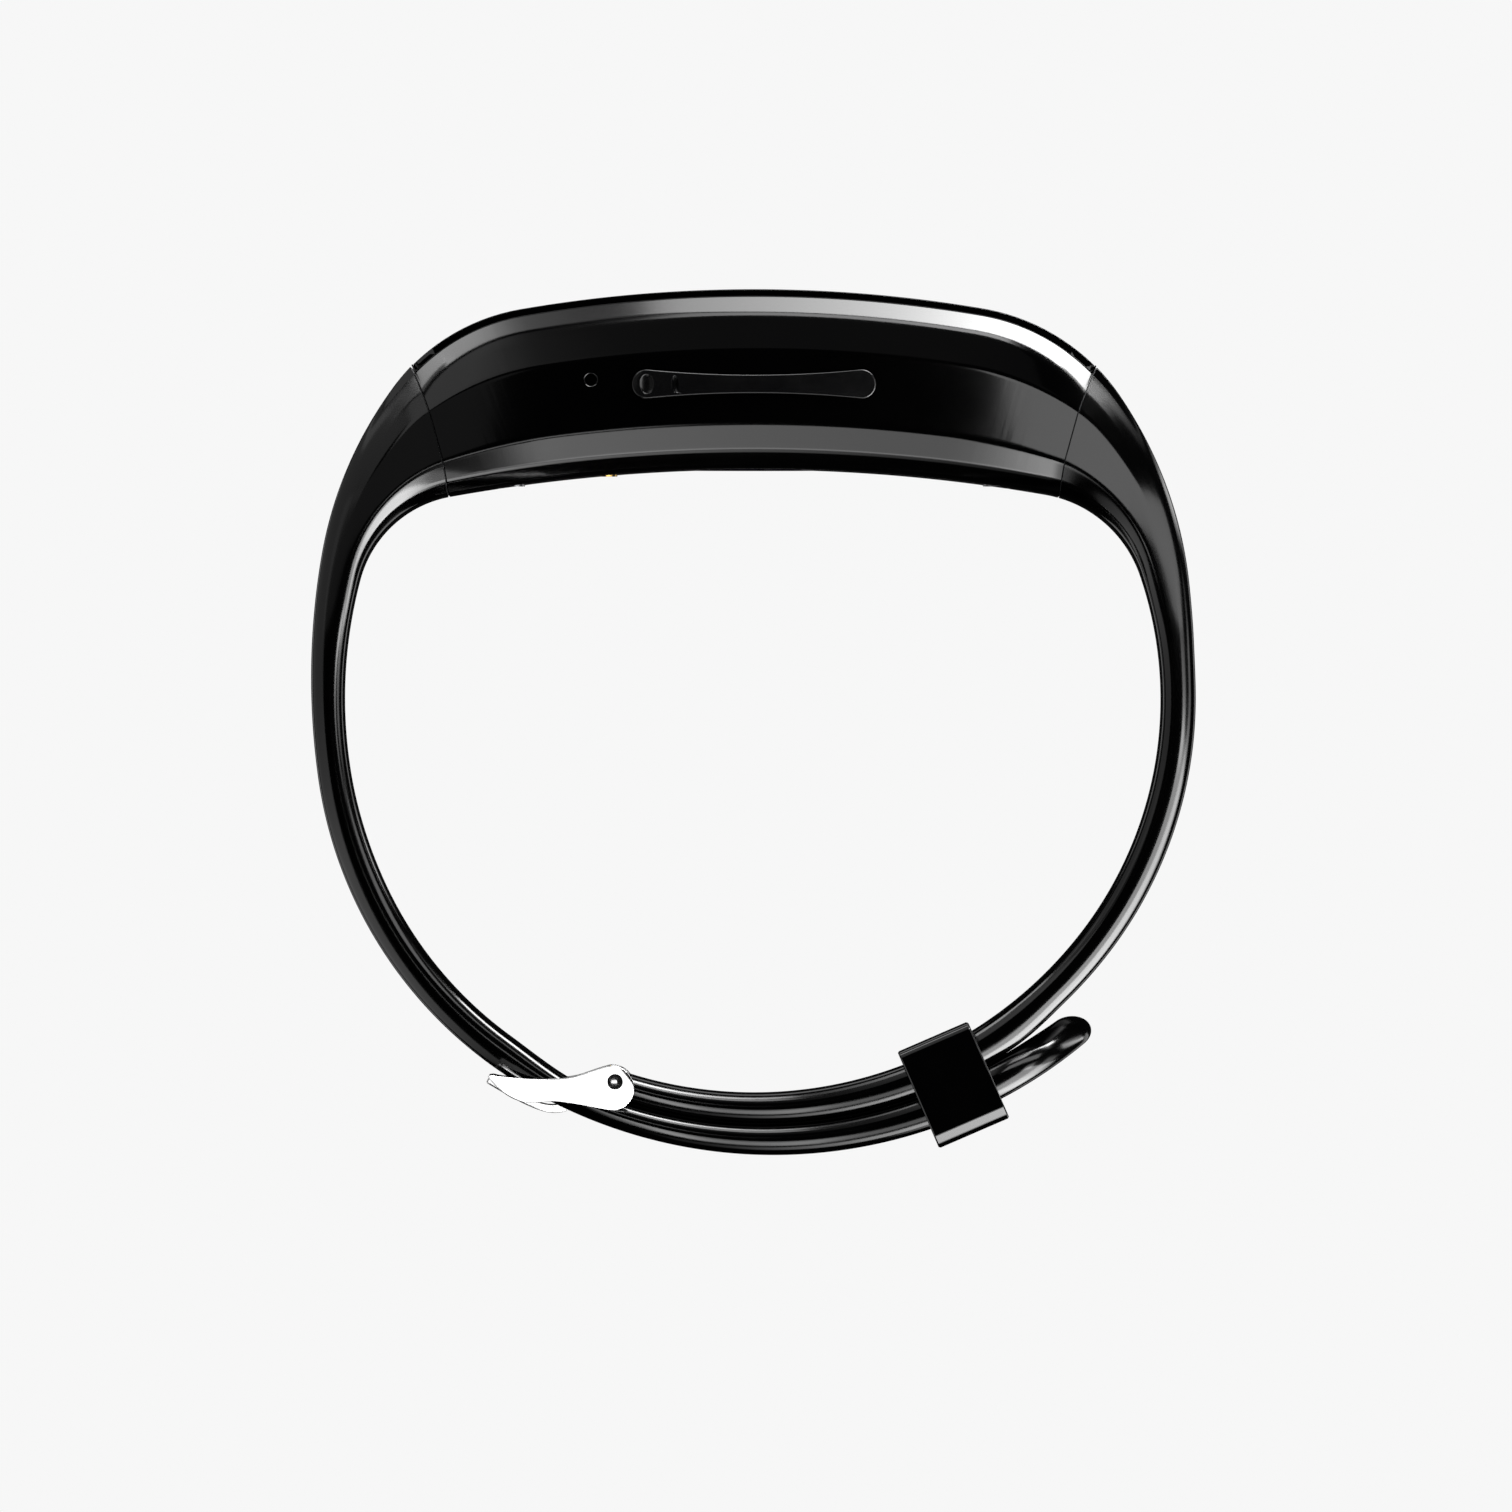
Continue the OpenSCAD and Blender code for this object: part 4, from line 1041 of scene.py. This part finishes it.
window("top_left", 79, 22, [(-38, 5.6), (-28, 5.2), (-23, 4.3), (-16, 2.2), (-9, 0.75), (-5, 0.45)])
window("top_left_end", 79.7, 10.6, [(-47.6, 0.6), (-46.9, 5), (-40, 5.6), (-38, 5.6)])
window("left_spike", 72.5, 5, [(-62, 0.7), (-36, 0.9)])
window("top_right", 81, 21, [(-5, 6.2), (-2, 7.5), (1, 9), (4, 11), (7, 14), (9, 17), (12, 24),
                             (14, 26), (38, 26)])
window("top_right_end", 79.7, 10.6, [(38, 26), (46.7, 26), (47.5, 0.5), (52, 0.2)])
window("right_spike", 72.5, 5, [(36, 4), (44, 3.6), (50, 2.6), (56, 1), (62, 0.2)])
window("top_skirt", 62, 12, [(-5, 3.2), (0, 4.5), (6, 5), (13, 7), (20, 7), (24, 1), (27, 0)])
window("high", 44, 38, [(-56, 0.8), (-30, 0.78), (-24, 0.62), (-15, 0.3), (-9, 0.1), (0, 0.08),
                        (30, 0.05)], dist=0.2, eye=(-0.008, -0.01, 0.028))
window("low", 48, 24, [(160, 0.12), (170, 0.2), (171.7, 0.7), (173.4, 2.9), (175.2, 3.2), (177, 2.8),
                       (180, 2.3), (185.5, 1.9), (186.8, 2.4), (189, 4.5), (192.2, 6.7), (194, 6),
                       (195.2, 4), (196.5, 3), (199, 2), (203, 0.2)])
window("under_right", 68, 18, [(84, 0.1), (90, 1.8), (96, 2.1), (107, 5.5), (117, 6.8), (130, 9.5),
                               (150, 11), (161, 8), (166, 6.2), (171, 4), (176, 2.3), (181, 1.2),
                               (186, 0.4), (194, 0.1)], eye=(0.008, -0.009, -0.01))
window("under_mid", 88, 22, [(111, 0.2), (120, 5), (135, 11), (150, 9), (160, 3), (166, 0.3)],
       eye=(0.014, -0.009, -0.015))
window("under_left", 46, 16, [(112, 0.08), (121, 0.3), (129, 0.65), (138, 1), (150, 1.7), (171, 2.2),
                              (180, 1.9), (184, 1.6), (189, 1.2), (194, 0.75), (199, 0.2)],
       dist=0.12, eye=(0.004, -0.009, -0.0245))
window("left_panel", 82, 68, [(213, 0.3), (222, 0.8), (229, 1.15), (245, 1.2), (251, 0.9),
                              (257, 0.65), (264, 0.45), (290, 0.4), (312, 0.45)],
       dist=0.4, eye=(-0.02, 0, 0))
window("right_panel", 69, 40, [(103, 5), (108, 6), (118, 6), (132, 6.5), (146, 6), (153, 1)],
       dist=0.35, eye=(-0.026, -0.009, 0.012))
window("right_panel_low", 55, 11, [(86, 0.1), (89, 1), (94, 3), (99, 4), (104, 6)],
       dist=0.35, eye=(-0.03, -0.009, 0.0))
window("crown_right", 103, 34, [(64, 0.3), (69, 2), (72, 6), (77, 5), (82, 0.3)])
window("over_back", 128, 30, [(-30, 1), (30, 1)])
window("back_right", 134, 20, [(70, 1), (150, 1)])
window("back_left", 134, 20, [(-140, 0.8), (-70, 0.8)])
FLAT = ((1, 0, 0), (0, 0, 1), (0, -1, 0))
area("side_right", (0.0589, -0.062, 0.025), *FLAT, 0.0822, 0.03, 2.6)
area("side_left", (-0.0595, -0.062, 0.025), *FLAT, 0.0822, 0.032, 0.16)
area("buckle_light", (-0.0136, -0.09, -0.0214), *FLAT, 0.019, 0.009, 2.6)

cam_data = bpy.data.cameras.new("camera")
cam = bpy.data.objects.new("camera", cam_data)
bpy.context.scene.collection.objects.link(cam)
CAM_DIST, NEAR_FACE, FRAME_W = 4.0, 0.008, 0.1059  # metres; FRAME_W is seen at the band's near face
SENSOR_W = 36  # width of the camera's sensor
cam.location = (0.00014, -CAM_DIST, 0.00186)
cam.rotation_euler = (math.radians(90), 0, 0)
cam_data.lens = SENSOR_W * (CAM_DIST - NEAR_FACE) / FRAME_W
cam_data.clip_start = 0.05
bpy.context.scene.camera = cam
bpy.context.scene.view_settings.view_transform = "Standard"
bpy.context.scene.view_settings.look = "None"
